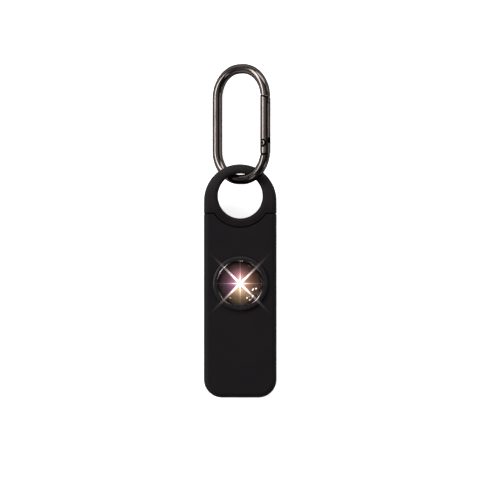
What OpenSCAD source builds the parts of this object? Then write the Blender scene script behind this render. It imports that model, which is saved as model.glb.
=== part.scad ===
// Personal safety alarm: a siren and strobe whose ring top pulls off, with a carabiner in the ring.
// The lens is centred on the Z axis, the back of the case lies on z = 0 and the finger ring points along +Y.

/* [Case] */
// Width of the case across the front
body_w = 28; // [26.5:0.5:32]
// Thickness of the case from back to front
body_t = 16; // [15.5:0.5:18]
// From the lens centre down to the bottom edge
tail_len = 43.9; // [43:0.1:50]
// Radius of the two bottom corners, seen from the front
corner_r = 7; // [5:0.5:9]
// Rounding of the long edges, front and back
edge_r = 2; // [1.2:0.1:2.4]
// Wall of the mouldings
wall = 1.6; // [1.3:0.1:1.9]
// Height of the seam between the front and rear mouldings
seam_z = 9.3; // [8.9:0.1:9.7]

/* [Ring top] */
// Height of the square shoulders where the top meets the case
shoulder_y = 27.1; // [26:0.1:29]
// Highest point of the finger ring
ring_tip_y = 46.1; // [44:0.1:48]
// Centre of the finger hole
hole_y = 33.8; // [33:0.1:35]
// Finger hole
finger_hole_d = 17.3; // [15:0.1:19]
// Width of the band that runs round the finger hole into the case
band_w = 3.35; // [2.8:0.05:4]
// Gap along the line where the top pulls away
parting_gap = 0.35; // [0.2:0.05:0.6]
// Thickness of the ring at its tip
tip_t = 2.8; // [2.4:0.1:3.4]
// Length over which the ring thins from the shoulders to the tip
sweep_len = 15.4; // [12:0.1:18]
// Rounding of the finger hole's rims
rim_r = 1.6; // [0.8:0.1:1.8]
// Locating pegs between the two halves of the top
peg_d = 1.8; // [1.2:0.1:2.4]
// Length of the locating pegs
peg_len = 2.4; // [1.5:0.1:3.2]

/* [Pull pin] */
// Pin that the top carries into the case
pin_d = 3.5; // [3:0.1:4]
// Length of the pin below the band
pin_len = 11.4; // [10:0.1:11.8]
// Flange that the halves of the top trap
pin_flange_d = 5.2; // [4.4:0.1:6]
// Thickness of that flange
pin_flange_t = 1.2; // [0.8:0.1:1.5]
// Outside of the socket that the pin slides in
socket_d = 6.4; // [6:0.1:8]
// Running clearance round the pin, on the radius
pin_fit = 0.05; // [0.02:0.01:0.1]
// Cord of the sealing ring round the pin
seal_cord = 1; // [0.7:0.1:1.2]

/* [Lens] */
// Clear dome seen inside the bezel
lens_d = 17.6; // [16:0.1:18.4]
// Height of the dome's crown above the bezel seat
dome_h = 2.2; // [1.4:0.1:3.2]
// Straight part of the dome above the case
dome_land = 0.6; // [0.3:0.1:0.9]
// Wall of the dome
lens_wall = 1.2; // [0.9:0.1:1.6]
// Flange of the dome behind the case front
lens_flange_w = 1.5; // [1:0.1:2]
// Thickness of that flange
lens_flange_t = 0.8; // [0.6:0.1:1.2]
// Outside of the raised bezel
bezel_d = 21; // [20:0.1:22]
// Height of the bezel above the case front
bezel_h = 1; // [0.6:0.1:1.4]
// Wall of the bezel's skirt
skirt_w = 0.4; // [0.3:0.05:0.6]
// Slip clearance between lens, bezel and case, on the radius
slip = 0.05; // [0.03:0.01:0.1]
// Mouth of the reflector round the light
reflector_mouth_d = 7.6; // [7.4:0.1:9]

/* [Power] */
// Diameter of a coin cell
cell_d = 20; // [18:0.5:20.5]
// Thickness of one coin cell
cell_t = 3.2; // [2.5:0.1:3.2]
// Centre of the cells below the lens
cell_y = -6; // [-7:0.1:-5.8]
// Sheet of the battery contacts
contact_t = 0.3; // [0.2:0.05:0.4]
// Wall of the cradle round the cells
cradle_w = 1.15; // [0.8:0.05:1.3]
// Clearance of the cells in the cradle, on the radius
cell_fit = 0.15; // [0.1:0.05:0.3]

/* [Circuit board] */
// Width of the board
board_w = 22; // [21:0.5:23]
// Upper end of the board
board_y1 = 9.6; // [9.4:0.1:9.9]
// Lower end of the board
board_y0 = -23.5; // [-26:0.5:-23]
// Thickness of the board
board_t = 1; // [0.8:0.1:1.2]
// Air between the battery clip and the board
board_air = 0.9; // [0.7:0.1:1]
// Light-emitting diode, side of its square package
led_w = 5; // [4:0.1:5.2]
// Height of that package
led_t = 1.2; // [0.8:0.1:1.4]
// Board screw shank
board_screw_d = 1.2; // [1:0.1:1.6]
// Board screw head
board_screw_head_d = 2.4; // [2:0.1:2.6]
// Height of that head
board_screw_head_h = 0.8; // [0.5:0.1:1]
// Wall of the posts that the board hangs on
post_wall = 0.9; // [0.7:0.1:1.1]
// Upper post from the board's edges
post_edge = 0.2; // [0.1:0.1:0.4]
// Lower post from the board's side
post_side = 0.3; // [0.1:0.1:0.6]
// Lower post below the cells' centre
post_drop = 10; // [9:0.1:10.5]
// Micro switch, across its width
switch_w = 6; // [5:0.1:7]
// Micro switch, along the pin
switch_l = 2.9; // [2.5:0.1:3]
// Micro switch, below the board
switch_h = 2.4; // [2:0.1:3]
// Plunger of the micro switch
plunger_d = 1.2; // [0.9:0.1:1.4]
// Contact gap between plunger and pin
plunger_gap = 0.05; // [0.02:0.01:0.1]
// Drum of the step-up coil
coil_d = 6; // [5:0.1:7]
// Height of the step-up coil
coil_h = 2.6; // [2:0.1:3.2]
// Flanges of the coil's drum
coil_flange_t = 0.5; // [0.4:0.1:0.7]
// Step-up coil, from the middle line
coil_x = 5.8; // [5:0.1:6.4]
// Step-up coil, above the board's lower end
coil_up = 3.5; // [3:0.1:4]
// Control chip, side
chip_w = 4; // [3:0.1:5]
// Control chip, height
chip_h = 1; // [0.7:0.1:1.4]
// Control chip, from the middle line
chip_x = 3; // [2:0.1:4]
// Control chip, above the board's lower end
chip_up = 8; // [7.6:0.1:9]
// Chip resistor, length
resistor_l = 1; // [0.6:0.1:1.6]
// Chip resistor, width
resistor_w = 0.6; // [0.3:0.1:0.8]
// Chip resistor, height
resistor_h = 0.4; // [0.2:0.1:0.6]
// Resistors left of the chip, from its side
resistor_left = 2.4; // [1.5:0.1:3]
// Resistors right of the chip, from its side
resistor_right = 2.2; // [1.5:0.1:3]
// Pitch of the resistor columns
resistor_pitch = 1.8; // [1.4:0.1:2.4]
// Upper row of resistors, above the chip's middle
resistor_up = 1.9; // [1:0.1:2.5]
// Pitch of the resistor rows
resistor_row = 3; // [2:0.1:3.4]
// Driver transistor, length
driver_l = 2.9; // [2.4:0.1:3.2]
// Driver transistor, width
driver_w = 1.6; // [1.2:0.1:1.8]
// Driver transistor, height
driver_h = 1.1; // [0.8:0.1:1.4]
// Driver transistor, from the middle line
driver_x = 6.65; // [6:0.05:7.5]
// Driver transistor, above the board's lower end
driver_up = 2.7; // [2:0.1:3.4]
// Filter capacitor, diameter
cap_d = 4; // [3:0.1:4.5]
// Filter capacitor, height
cap_h = 2.8; // [2:0.1:3.2]
// Filter capacitor, left of the middle line
cap_x = 5; // [4:0.1:6.5]
// Filter capacitor, above the board's lower end
cap_up = 4.1; // [3:0.1:4.6]

/* [Sounder] */
// Room between the siren's ring and the battery cradle or the side walls
sounder_gap = 0.3; // [0.2:0.05:0.5]
// Room between the siren's ring and the bottom wall
sounder_foot = 2.9; // [2.8:0.1:3.6]
// Clearance of the brass disc in its ring, on the radius
piezo_fit = 0.1; // [0.05:0.05:0.2]
// Thickness of the brass disc
piezo_t = 0.25; // [0.2:0.05:0.4]
// Ceramic on the brass disc
ceramic_d = 14; // [12:0.1:15]
// Thickness of the ceramic
ceramic_t = 0.25; // [0.2:0.05:0.4]
// Wall of the ring that the siren sits in
piezo_ring_w = 0.8; // [0.6:0.1:0.9]
// Height of the foam seal under the disc
seal_t = 1.4; // [1:0.1:2]
// Width of the foam seal
seal_w = 1.8; // [1.2:0.1:2.5]
// Sheet of the dust mesh
mesh_t = 0.2; // [0.15:0.05:0.4]
// Sound ports in the back
port_d = 1.4; // [1:0.1:1.8]
// Radius of the ring of ports
port_ring_r = 4; // [3:0.1:5.5]
// Number of ports in the ring
port_count = 8; // [6:1:10]
// Lead wires of the siren
wire_lead_d = 0.7; // [0.5:0.1:0.9]

/* [Case screws] */
// Shank of the case screws
screw_d = 1.6; // [1.4:0.1:2]
// Head of the case screws
screw_head_d = 3.6; // [3:0.1:3.8]
// Height of that head
screw_head_h = 1.4; // [1:0.1:1.8]
// Depth of the head below the back
screw_sink = 0.6; // [0.3:0.1:1]
// Length of the case screws below the head
screw_len = 10; // [9:0.1:10.4]
// Wall of the bosses round the screw heads
boss_w = 0.8; // [0.6:0.1:1]
// Boss for the screw thread in the front moulding
thread_boss_d = 3.8; // [3.2:0.1:4.4]
// Height of the upper pair of screws
upper_screw_y = 14; // [13.6:0.1:15]
// Lower pair of screws above the bottom edge
lower_screw_up = 4.7; // [4.6:0.1:5]

/* [Carabiner] */
// Wire of the carabiner
wire_d = 3.8; // [3.4:0.1:4]
// Outside width of the carabiner, in its own plane
hook_w = 27.6; // [26.5:0.1:30]
// Outside length of the carabiner
hook_len = 46.6; // [45:0.1:52]
// Bends of the carabiner, on the middle of the wire
hook_bend_r = 11.2; // [9:0.1:11.4]
// Sideways set of the carabiner in the ring
hook_x = 0.4; // [0:0.1:0.5]
// Room between the wire and the top of the finger hole
hook_room = 0.35; // [0.3:0.05:1]
// Room between the wire and the ring where they cross
cross_room = 0.3; // [0.26:0.02:0.8]
// Height of the carabiner's middle above the seam
hook_rise = 0.1; // [0:0.05:0.15]
// Gate tube
gate_d = 4; // [3.6:0.1:4.2]
// Gate tube, length on its middle line
gate_len = 22.2; // [20:0.1:23]
// Gate's lower end below the straight part of the wire
gate_drop = 1.3; // [0:0.1:1.6]
// Gap below the gate
gate_gap_low = 0.6; // [0.55:0.05:1]
// Gap above the gate
gate_gap_top = 0.35; // [0.25:0.05:0.5]
// Slant of the joint above the gate
joint_slant = 14; // [0:1:20]
// Tongue of the frame inside the gate
tongue_t = 1.3; // [1:0.1:1.5]
// Room on each side of tongue and nose
tongue_fit = 0.25; // [0.15:0.05:0.35]
// Nose of the frame inside the gate's upper end
nose_len = 2.3; // [1.5:0.1:3]
// Rivet above the gate's lower end
rivet_up = 4; // [3.6:0.1:4.6]
// Rivet shank
rivet_d = 1.5; // [1.2:0.1:1.7]
// Rivet head
rivet_head_d = 2.6; // [2:0.1:2.8]
// Rivet head's height
rivet_head_h = 0.5; // [0.3:0.1:0.7]
// Running clearance of the rivet in the tongue, on the radius
rivet_fit = 0.05; // [0.02:0.01:0.1]
// Round eye of the tongue
eye_d = 2.7; // [2.5:0.1:2.9]
// Throw of the eye that lifts the plunger as the gate opens
eye_throw = 0.45; // [0.2:0.05:0.45]
// Bore of the gate
gate_bore_d = 2.3; // [1.8:0.1:2.5]
// Length of the gate's plunger
gate_plunger_len = 2.6; // [2:0.1:3.4]
// Running clearance of the plunger in the bore, on the radius
bore_fit = 0.05; // [0.02:0.01:0.1]
// Length of the gate spring
gate_spring_len = 8; // [6:0.1:9]
// Wire of the gate spring
gate_spring_wire = 0.35; // [0.25:0.05:0.45]

/* [Hidden] */
$fn = 64;

half_w = body_w / 2;
bend_y = -tail_len + corner_r;
case_top_y = shoulder_y - parting_gap;
hole_r = finger_hole_d / 2;
band_r = hole_r + band_w;
arc_y = ring_tip_y - half_w;
front_in = body_t - wall;
band_low_y = hole_y - band_r;
inner_arc_r = band_r + parting_gap + wall;
cavity_top_y = hole_y - inner_arc_r;

pin_tip_y = band_low_y - pin_len;
pin_flange_y = band_low_y + (band_w - pin_flange_t) / 2;
socket_y0 = pin_tip_y + 0.5;
socket_y1 = cavity_top_y - 0.15;
seal_y = (socket_y0 + socket_y1) / 2;

cell_z = wall + contact_t;
clip_z = cell_z + 2 * cell_t;
board_z = clip_z + contact_t + board_air;
board_top = board_z + board_t;
cradle_r = cell_d / 2 + cell_fit;
cradle_out_r = cradle_r + cradle_w;
cradle_h = clip_z + contact_t - wall;
leg_y = cell_y + cradle_out_r + 0.1;

lens_r = lens_d / 2;
bezel_in_r = lens_r + slip;
lens_hole_r = bezel_in_r + skirt_w + slip;
flange_z = front_in - lens_flange_t;
flange_r = lens_r + lens_flange_w;
crown_r = (lens_r * lens_r + dome_h * dome_h) / (2 * dome_h);
crown_z = body_t + dome_land + dome_h - crown_r;

switch_y = leg_y + contact_t + 0.4;
plunger_z = board_z - switch_h / 2;

tail_room = tail_len - wall + cell_y - cradle_out_r;
piezo_ring_out_r = min((tail_room - sounder_gap - sounder_foot) / 2, half_w - wall - sounder_gap);
piezo_ring_r = piezo_ring_out_r - piezo_ring_w;
piezo_d = 2 * (piezo_ring_r - piezo_fit);
piezo_y = cell_y - cradle_out_r - sounder_gap - piezo_ring_out_r;
piezo_z = wall + seal_t;
ceramic_z = piezo_z + piezo_t;
piezo_ring_h = seal_t + piezo_t + 0.9;

boss_r = screw_head_d / 2 + 0.2 + boss_w;
upper_screw_x = half_w - wall - boss_r + 0.2;
lower_screw_x = half_w - wall - boss_r + 0.2 - corner_r * 0.11;
lower_screw_y = -tail_len + lower_screw_up;
screw_spots = [[upper_screw_x, upper_screw_y], [-upper_screw_x, upper_screw_y],
    [lower_screw_x, lower_screw_y], [-lower_screw_x, lower_screw_y]];
board_screw_r = board_screw_d / 2;
post_r = board_screw_r + post_wall;
post_spots = [[board_w / 2 - post_r - post_edge, board_y1 - post_r - post_edge],
    [-(board_w / 2 - post_r - post_side), cell_y - post_drop]];
chip_y = board_y0 + chip_up;
coil_y = board_y0 + coil_up;

wire_r = wire_d / 2;
gate_r = gate_d / 2;
hook_half = hook_w / 2 - wire_r;
hook_y0 = hole_y + hole_r - hook_room - wire_r;
hook_y1 = hook_y0 + hook_len - wire_d;
cross_x = sqrt(hole_r * hole_r - pow(hook_y0 - hole_y + 1, 2));
hook_yaw = atan((tip_t / 2 + wire_r + cross_room) / cross_x);
hook_z = seam_z + hook_rise;
gate_y0 = hook_y0 + hook_bend_r - gate_drop;
gate_y1 = gate_y0 + gate_len;
rivet_y = gate_y0 + rivet_up;
slot_n = tongue_t + 2 * tongue_fit;
fork_top_y = rivet_y + eye_d / 2 + 0.75;
gate_plunger_y = rivet_y + eye_d / 2 + 0.02;
gate_spring_y = gate_plunger_y + gate_plunger_len;
gate_bore_top_y = gate_spring_y + gate_spring_len;
spring_r = gate_bore_d / 2 - bore_fit;
spot_n = sqrt(gate_r * gate_r - rivet_head_d * rivet_head_d / 4) - 0.08;

black = [0.12, 0.11, 0.12];
steel = [0.7, 0.7, 0.72];
gunmetal = [0.3, 0.28, 0.28];
brass = [0.8, 0.65, 0.3];
green = [0.1, 0.35, 0.2];

// round bar along Y
module rod_y(x, z, y0, y1, r) {
    translate([x, y0, z])
        rotate([-90, 0, 0])
            cylinder(h = y1 - y0, r = r);
}

// rounded upright section of the case, standing on its axis
module case_section() {
    translate([-half_w + edge_r, 0])
        square([body_w - 2 * edge_r, body_t]);
    translate([-half_w, edge_r])
        square([body_w, body_t - 2 * edge_r]);
    for (x = [-1, 1], z = [edge_r, body_t - edge_r])
        translate([x * (half_w - edge_r), z])
            circle(r = edge_r);
}

// section of a bottom corner from its axis outwards
module corner_section() {
    square([corner_r - edge_r, body_t]);
    translate([0, edge_r])
        square([corner_r, body_t - 2 * edge_r]);
    for (z = [edge_r, body_t - edge_r])
        translate([corner_r - edge_r, z])
            circle(r = edge_r);
}

// outer form of the case, up to the line where the top parts
module case_form() {
    difference() {
        union() {
            translate([0, case_top_y, 0])
                rotate([90, 0, 0])
                    linear_extrude(height = case_top_y - bend_y)
                        case_section();
            translate([-(half_w - corner_r), bend_y, 0])
                rotate([90, 0, 90])
                    linear_extrude(height = body_w - 2 * corner_r)
                        mirror([1, 0])
                            corner_section();
            translate([half_w - corner_r, bend_y, 0])
                rotate([0, 0, -90])
                    rotate_extrude(angle = 90)
                        corner_section();
            translate([-(half_w - corner_r), bend_y, 0])
                rotate([0, 0, 180])
                    rotate_extrude(angle = 90)
                        corner_section();
        }
        translate([0, hole_y, -1])
            cylinder(h = body_t + 2, r = band_r + parting_gap);
    }
}

// outline of the hollow inside the case
module cavity_outline() {
    in_r = corner_r - wall;
    difference() {
        union() {
            translate([-(half_w - wall), bend_y])
                square([body_w - 2 * wall, case_top_y - wall - bend_y]);
            translate([-(half_w - corner_r), -tail_len + wall])
                square([body_w - 2 * corner_r, corner_r]);
            for (x = [-1, 1])
                translate([x * (half_w - corner_r), bend_y])
                    circle(r = in_r);
        }
        translate([0, hole_y])
            circle(r = inner_arc_r);
    }
}

module cavity() {
    translate([0, 0, wall])
        linear_extrude(height = front_in - wall)
            cavity_outline();
}

// half space block from z0 to z1
module slice(z0, z1) {
    translate([-half_w - 5, -tail_len - 5, z0])
        cube([body_w + 10, tail_len + ring_tip_y + 10, z1 - z0]);
}

module pin_passage() {
    rod_y(0, seam_z, cavity_top_y - 0.3, band_low_y, pin_d / 2 + 0.15);
}

module front_shell() {
    color(black)
        difference() {
            union() {
                difference() {
                    intersection() {
                        case_form();
                        slice(seam_z, body_t + 1);
                    }
                    cavity();
                }
                for (p = screw_spots)
                    translate([p[0], p[1], seam_z])
                        cylinder(h = front_in - seam_z + wall / 2, d = thread_boss_d);
                for (p = post_spots)
                    translate([p[0], p[1], board_top])
                        cylinder(h = front_in - board_top + wall / 2, r = post_r);
            }
            translate([0, 0, front_in - 1])
                cylinder(h = wall + 2, r = lens_hole_r);
            for (p = screw_spots)
                translate([p[0], p[1], seam_z - 1])
                    cylinder(h = screw_sink + screw_head_h + screw_len + 0.5 - seam_z + 1, d = screw_d);
            for (p = post_spots)
                translate([p[0], p[1], board_top - 0.5])
                    cylinder(h = front_in - board_top - 0.1, r = board_screw_r);
            pin_passage();
        }
}

module rear_shell() {
    color(black)
        difference() {
            union() {
                difference() {
                    intersection() {
                        case_form();
                        slice(-1, seam_z);
                    }
                    cavity();
                }
                for (p = screw_spots)
                    translate([p[0], p[1], wall / 2])
                        cylinder(h = seam_z - wall / 2, r = boss_r);
                translate([0, piezo_y, wall / 2])
                    difference() {
                        cylinder(h = piezo_ring_h + wall / 2, r = piezo_ring_out_r);
                        translate([0, 0, wall / 2])
                            cylinder(h = piezo_ring_h + 1, r = piezo_ring_r);
                    }
            }
            for (p = screw_spots)
                translate([p[0], p[1], -1]) {
                    cylinder(h = seam_z + 2, d = screw_d + 0.3);
                    cylinder(h = 1 + screw_sink + screw_head_h, d = screw_head_d + 0.4);
                }
            translate([0, piezo_y, -1])
                cylinder(h = wall + 2, d = port_d);
            for (i = [0 : port_count - 1])
                rotate_about(piezo_y, i * 360 / port_count)
                    translate([port_ring_r, 0, -1])
                        cylinder(h = wall + 2, d = port_d);
            pin_passage();
        }
}

// turn about an upright axis at height y
module rotate_about(y, a) {
    translate([0, y, 0])
        rotate([0, 0, a])
            children();
}

module case_screws() {
    color(steel)
        for (p = screw_spots)
            translate([p[0], p[1], screw_sink])
                difference() {
                    union() {
                        cylinder(h = screw_head_h, d = screw_head_d);
                        cylinder(h = screw_head_h + screw_len, d = screw_d);
                    }
                    for (a = [0, 90])
                        rotate([0, 0, a])
                            translate([-screw_head_d * 0.3, -0.2, -1])
                                cube([screw_head_d * 0.6, 0.4, 1.6]);
                }
}

// dome shell of radius r, drawn in by t
module dome_form(t) {
    intersection() {
        translate([0, 0, flange_z - 1])
            cylinder(h = body_t + dome_land + dome_h + 2 - flange_z, r = lens_r - t);
        translate([0, 0, crown_z])
            sphere(r = crown_r - t, $fn = 96);
    }
}

module lens_dome() {
    color([0.85, 0.9, 0.95])
        difference() {
            union() {
                translate([0, 0, flange_z])
                    cylinder(h = lens_flange_t, r = flange_r);
                intersection() {
                    dome_form(0);
                    slice(flange_z, body_t + 10);
                }
            }
            dome_form(lens_wall);
        }
}

module lens_bezel() {
    color([0.3, 0.28, 0.3])
        rotate_extrude() {
            translate([bezel_in_r, front_in])
                square([skirt_w, wall + bezel_h / 2]);
            translate([bezel_in_r, body_t])
                square([bezel_d / 2 - bezel_in_r, bezel_h / 2]);
            translate([bezel_in_r, body_t])
                square([bezel_d / 2 - bezel_in_r - bezel_h / 2, bezel_h]);
            translate([bezel_d / 2 - bezel_h / 2, body_t + bezel_h / 2])
                circle(d = bezel_h);
        }
}

module reflector_cup() {
    color([0.9, 0.9, 0.88])
        rotate_extrude()
            polygon([[reflector_mouth_d / 2, board_top], [lens_r, flange_z], [flange_r - 0.3, flange_z],
                [reflector_mouth_d / 2 + 1, board_top]]);
}

module strobe_led() {
    color([1, 0.98, 0.9]) {
        translate([-led_w / 2, -led_w / 2, board_top])
            cube([led_w, led_w, led_t]);
        translate([0, 0, board_top + led_t - 0.1])
            intersection() {
                sphere(d = led_w * 0.8);
                translate([-led_w, -led_w, 0])
                    cube([2 * led_w, 2 * led_w, led_w * 0.3]);
            }
    }
}

module circuit_board() {
    r = 1;
    color(green)
        translate([0, 0, board_z])
            linear_extrude(height = board_t)
                difference() {
                    union() {
                        translate([-board_w / 2 + r, board_y0])
                            square([board_w - 2 * r, board_y1 - board_y0]);
                        translate([-board_w / 2, board_y0 + r])
                            square([board_w, board_y1 - board_y0 - 2 * r]);
                        for (x = [-1, 1], y = [board_y0 + r, board_y1 - r])
                            translate([x * (board_w / 2 - r), y])
                                circle(r = r);
                    }
                    for (p = post_spots)
                        translate(p)
                            circle(r = board_screw_r + 0.1);
                }
}

module board_screws() {
    color(steel)
        for (p = post_spots)
            translate([p[0], p[1], board_z - board_screw_head_h]) {
                cylinder(h = board_screw_head_h, d = board_screw_head_d);
                cylinder(h = board_screw_head_h + board_t + (front_in - board_top) * 0.7, r = board_screw_r);
            }
}

module control_chip() {
    color([0.15, 0.15, 0.16])
        translate([chip_x - chip_w / 2, chip_y - chip_w / 2, board_top])
            cube([chip_w, chip_w, chip_h]);
}

module chip_resistors() {
    left = chip_x - chip_w / 2 - resistor_left;
    right = chip_x + chip_w / 2 + resistor_right;
    color([0.1, 0.1, 0.1])
        for (x = [left - resistor_pitch, left, right], row = [0, resistor_row])
            translate([x - resistor_l / 2, chip_y + resistor_up - row - resistor_w / 2, board_top])
                cube([resistor_l, resistor_w, resistor_h]);
}

module driver_transistor() {
    color([0.18, 0.18, 0.18])
        translate([driver_x - driver_l / 2, board_y0 + driver_up - driver_w / 2, board_top])
            cube([driver_l, driver_w, driver_h]);
}

module filter_capacitor() {
    color([0.75, 0.75, 0.78])
        translate([-cap_x, board_y0 + cap_up, board_top])
            cylinder(h = cap_h, d = cap_d);
}

module coil_core() {
    color([0.25, 0.24, 0.24])
        translate([coil_x, coil_y, board_z - coil_h])
            rotate_extrude()
                polygon([[0, 0], [coil_d / 2, 0], [coil_d / 2, coil_flange_t], [coil_d * 0.2, coil_flange_t],
                    [coil_d * 0.2, coil_h - coil_flange_t], [coil_d / 2, coil_h - coil_flange_t],
                    [coil_d / 2, coil_h], [0, coil_h]]);
}

module coil_winding() {
    color([0.72, 0.4, 0.2])
        translate([coil_x, coil_y, board_z - coil_h + coil_flange_t])
            difference() {
                cylinder(h = coil_h - 2 * coil_flange_t, r = coil_d / 2 - 0.3);
                translate([0, 0, -1])
                    cylinder(h = coil_h + 1, r = coil_d * 0.2);
            }
}

// one coin cell, its can upwards
module coin_cell(z) {
    color(steel)
        translate([0, cell_y, z]) {
            cylinder(h = cell_t * 0.2, d = cell_d * 0.9);
            translate([0, 0, cell_t * 0.2])
                cylinder(h = cell_t * 0.8, d = cell_d);
        }
}

module lower_cell() {
    coin_cell(cell_z);
}

module upper_cell() {
    coin_cell(cell_z + cell_t);
}

module battery_cradle() {
    color([0.85, 0.85, 0.82])
        translate([0, cell_y, wall])
            difference() {
                cylinder(h = cradle_h, r = cradle_out_r);
                translate([0, 0, -1])
                    cylinder(h = cradle_h + 2, r = cradle_r);
                translate([-1.6, 0, -1])
                    cube([3.2, cradle_out_r + 1, 1 + contact_t + 0.3]);
            }
}

module positive_clip() {
    color(brass)
        translate([0, cell_y, clip_z]) {
            cylinder(h = contact_t, d = cell_d * 0.5);
            for (x = [-1, 1])
                translate([x * cell_d * 0.2 - 0.6, -0.15, 0])
                    cube([1.2, contact_t, board_z - clip_z]);
        }
}

module negative_contact() {
    color(brass) {
        translate([0, cell_y, wall])
            cylinder(h = contact_t, d = cell_d * 0.6);
        translate([-1.2, cell_y, wall])
            cube([2.4, leg_y + contact_t - cell_y, contact_t]);
        translate([-1.2, leg_y, wall])
            cube([2.4, contact_t, board_z - wall]);
    }
}

module piezo_disc() {
    color(brass)
        translate([0, piezo_y, piezo_z])
            cylinder(h = piezo_t, d = piezo_d);
}

module piezo_ceramic() {
    color([0.92, 0.92, 0.9])
        translate([0, piezo_y, ceramic_z])
            cylinder(h = ceramic_t, d = ceramic_d);
}

module sounder_seal() {
    color([0.2, 0.2, 0.22])
        translate([0, piezo_y, wall])
            difference() {
                cylinder(h = seal_t, d = piezo_d);
                translate([0, 0, -1])
                    cylinder(h = seal_t + 2, r = piezo_d / 2 - seal_w);
            }
}

module sound_mesh() {
    color([0.35, 0.35, 0.37])
        translate([0, piezo_y, wall])
            cylinder(h = mesh_t, r = piezo_d / 2 - seal_w - 0.1);
}

module piezo_wires() {
    edge_y = piezo_y + (piezo_d / 2 + ceramic_d / 2) / 2 * 0.94;
    core_y = piezo_y + ceramic_d / 2 - 0.8;
    color([0.7, 0.1, 0.1])
        translate([1.6, core_y, ceramic_z + ceramic_t])
            cylinder(h = board_z - ceramic_z - ceramic_t, d = wire_lead_d);
    color([0.1, 0.1, 0.1])
        translate([-2, edge_y, ceramic_z])
            cylinder(h = board_z - ceramic_z, d = wire_lead_d);
}

module pin_socket() {
    foot_w = socket_d * 0.75;
    color([0.8, 0.8, 0.78])
        difference() {
            union() {
                rod_y(0, seam_z, socket_y0, socket_y1, socket_d / 2);
                translate([-foot_w / 2, socket_y0, wall])
                    cube([foot_w, socket_y1 - socket_y0, seam_z - wall]);
            }
            rod_y(0, seam_z, socket_y0 - 1, socket_y1 + 1, pin_d / 2 + pin_fit);
            rod_y(0, seam_z, seal_y - seal_cord / 2, seal_y + seal_cord / 2, pin_d / 2 + pin_fit + seal_cord);
        }
}

module pin_seal() {
    color([0.6, 0.2, 0.15])
        translate([0, seal_y, seam_z])
            rotate([-90, 0, 0])
                rotate_extrude()
                    translate([pin_d / 2 + 0.03 + seal_cord / 2, 0])
                        circle(d = seal_cord);
}

module switch_case() {
    color([0.15, 0.15, 0.17])
        difference() {
            translate([-switch_w / 2, switch_y, board_z - switch_h])
                cube([switch_w, switch_l, switch_h]);
            rod_y(0, plunger_z, switch_y + 0.5, switch_y + switch_l + 1, plunger_d / 2 + 0.05);
        }
}

module switch_plunger() {
    color([0.85, 0.3, 0.1])
        rod_y(0, plunger_z, switch_y + 1, pin_tip_y - plunger_gap, plunger_d / 2);
}

// how far the ring has thinned at height y, from none to all
function sweep(y) = let (u = min(max((y - shoulder_y) / sweep_len, 0), 1)) (1 - cos(180 * u)) / 2;
// depth of the ring in front of the seam and behind it
function depth(y, full) = full - (full - tip_t / 2) * sweep(y);
// distance inside the outer edge of the ring
function inside(x, y) = half_w - (y > arc_y ? norm([x, y - arc_y]) : abs(x));
// fall of a rounded edge of radius r at distance d from it
function fall(d, r, h) = d >= r ? 0 : min(r, h - 0.15) * (1 - sqrt(1 - pow(1 - max(d, 0) / r, 2)));
function skin(x, y, h) = h - max(fall(norm([x, y - hole_y]) - hole_r, rim_r, h), fall(inside(x, y), edge_r, h));
// outline of the top, measured from the finger hole's centre in direction a
function arc_reach(a) = let (o = hole_y - arc_y) -o * sin(a) + sqrt(half_w * half_w - pow(o * cos(a), 2));
function side_reach(a) = abs(cos(a)) < 0.01 ? 999 : half_w / abs(cos(a));
function upper_reach(a) = hole_y + arc_reach(a) * sin(a) > arc_y ? arc_reach(a) : side_reach(a);
function low_reach(a) = sin(a) < -0.01 ? (hole_y - shoulder_y) / -sin(a) : 999;
function reach(a) = max(band_r, min(upper_reach(a), low_reach(a)));

band_a = -asin((hole_y - shoulder_y) / band_r);
corner_a = -atan((hole_y - shoulder_y) / half_w);
side_a = atan((arc_y - hole_y) / half_w);
right_a = concat([for (i = [0 : 11]) -90 + (band_a + 90) * i / 12], [band_a, (band_a + corner_a) / 2],
    [for (i = [0 : 2]) corner_a + (side_a - corner_a) * i / 3],
    [for (i = [0 : 23]) side_a + (90 - side_a) * i / 24]);
angles = concat(right_a, [90], [for (i = [len(right_a) - 1 : -1 : 1]) 180 - right_a[i]]);
steps = [0, 0.03, 0.11, 0.24, 0.4, 0.6, 0.76, 0.89, 0.97, 1];

// one half of the ring top, on the side s of the seam
module top_half(s, full) {
    n = len(angles);
    k = len(steps);
    m = k + 2;
    points = [for (a = angles) let (q = reach(a)) for (j = [0 : m - 1])
        let (f = j < k ? steps[j] : (j == k ? 1 : 0), r = hole_r + (q - hole_r) * f)
        let (x = r * cos(a), y = hole_y + r * sin(a))
        [x, y, seam_z + (j < k ? s * skin(x, y, depth(y, full)) : 0)]];
    faces = [for (i = [0 : n - 1], j = [0 : m - 1])
        let (next = ((i + 1) % n) * m, step = (j + 1) % m)
        let (p = i * m + j, q = next + j, u = next + step, v = i * m + step)
        for (t = [0, 1]) t == 0 ? (s > 0 ? [p, q, u] : [p, u, q]) : (s > 0 ? [p, u, v] : [p, v, u])];
    polyhedron(points = points, faces = faces, convexity = 6);
}

// room for the pin's flange and neck inside the top
module pin_pocket() {
    rod_y(0, seam_z, band_low_y - 1, pin_flange_y + 0.1, pin_d / 2);
    rod_y(0, seam_z, pin_flange_y, pin_flange_y + pin_flange_t, pin_flange_d / 2);
}

peg_x = (half_w + hole_r) / 2 - 0.4;
peg_y = shoulder_y + 3;

module top_front_half() {
    color([0.16, 0.15, 0.16])
        difference() {
            top_half(1, body_t - seam_z);
            pin_pocket();
            for (x = [-peg_x, peg_x])
                translate([x, peg_y, seam_z - 1])
                    cylinder(h = peg_len + 1.1, d = peg_d + 0.1);
        }
}

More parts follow.
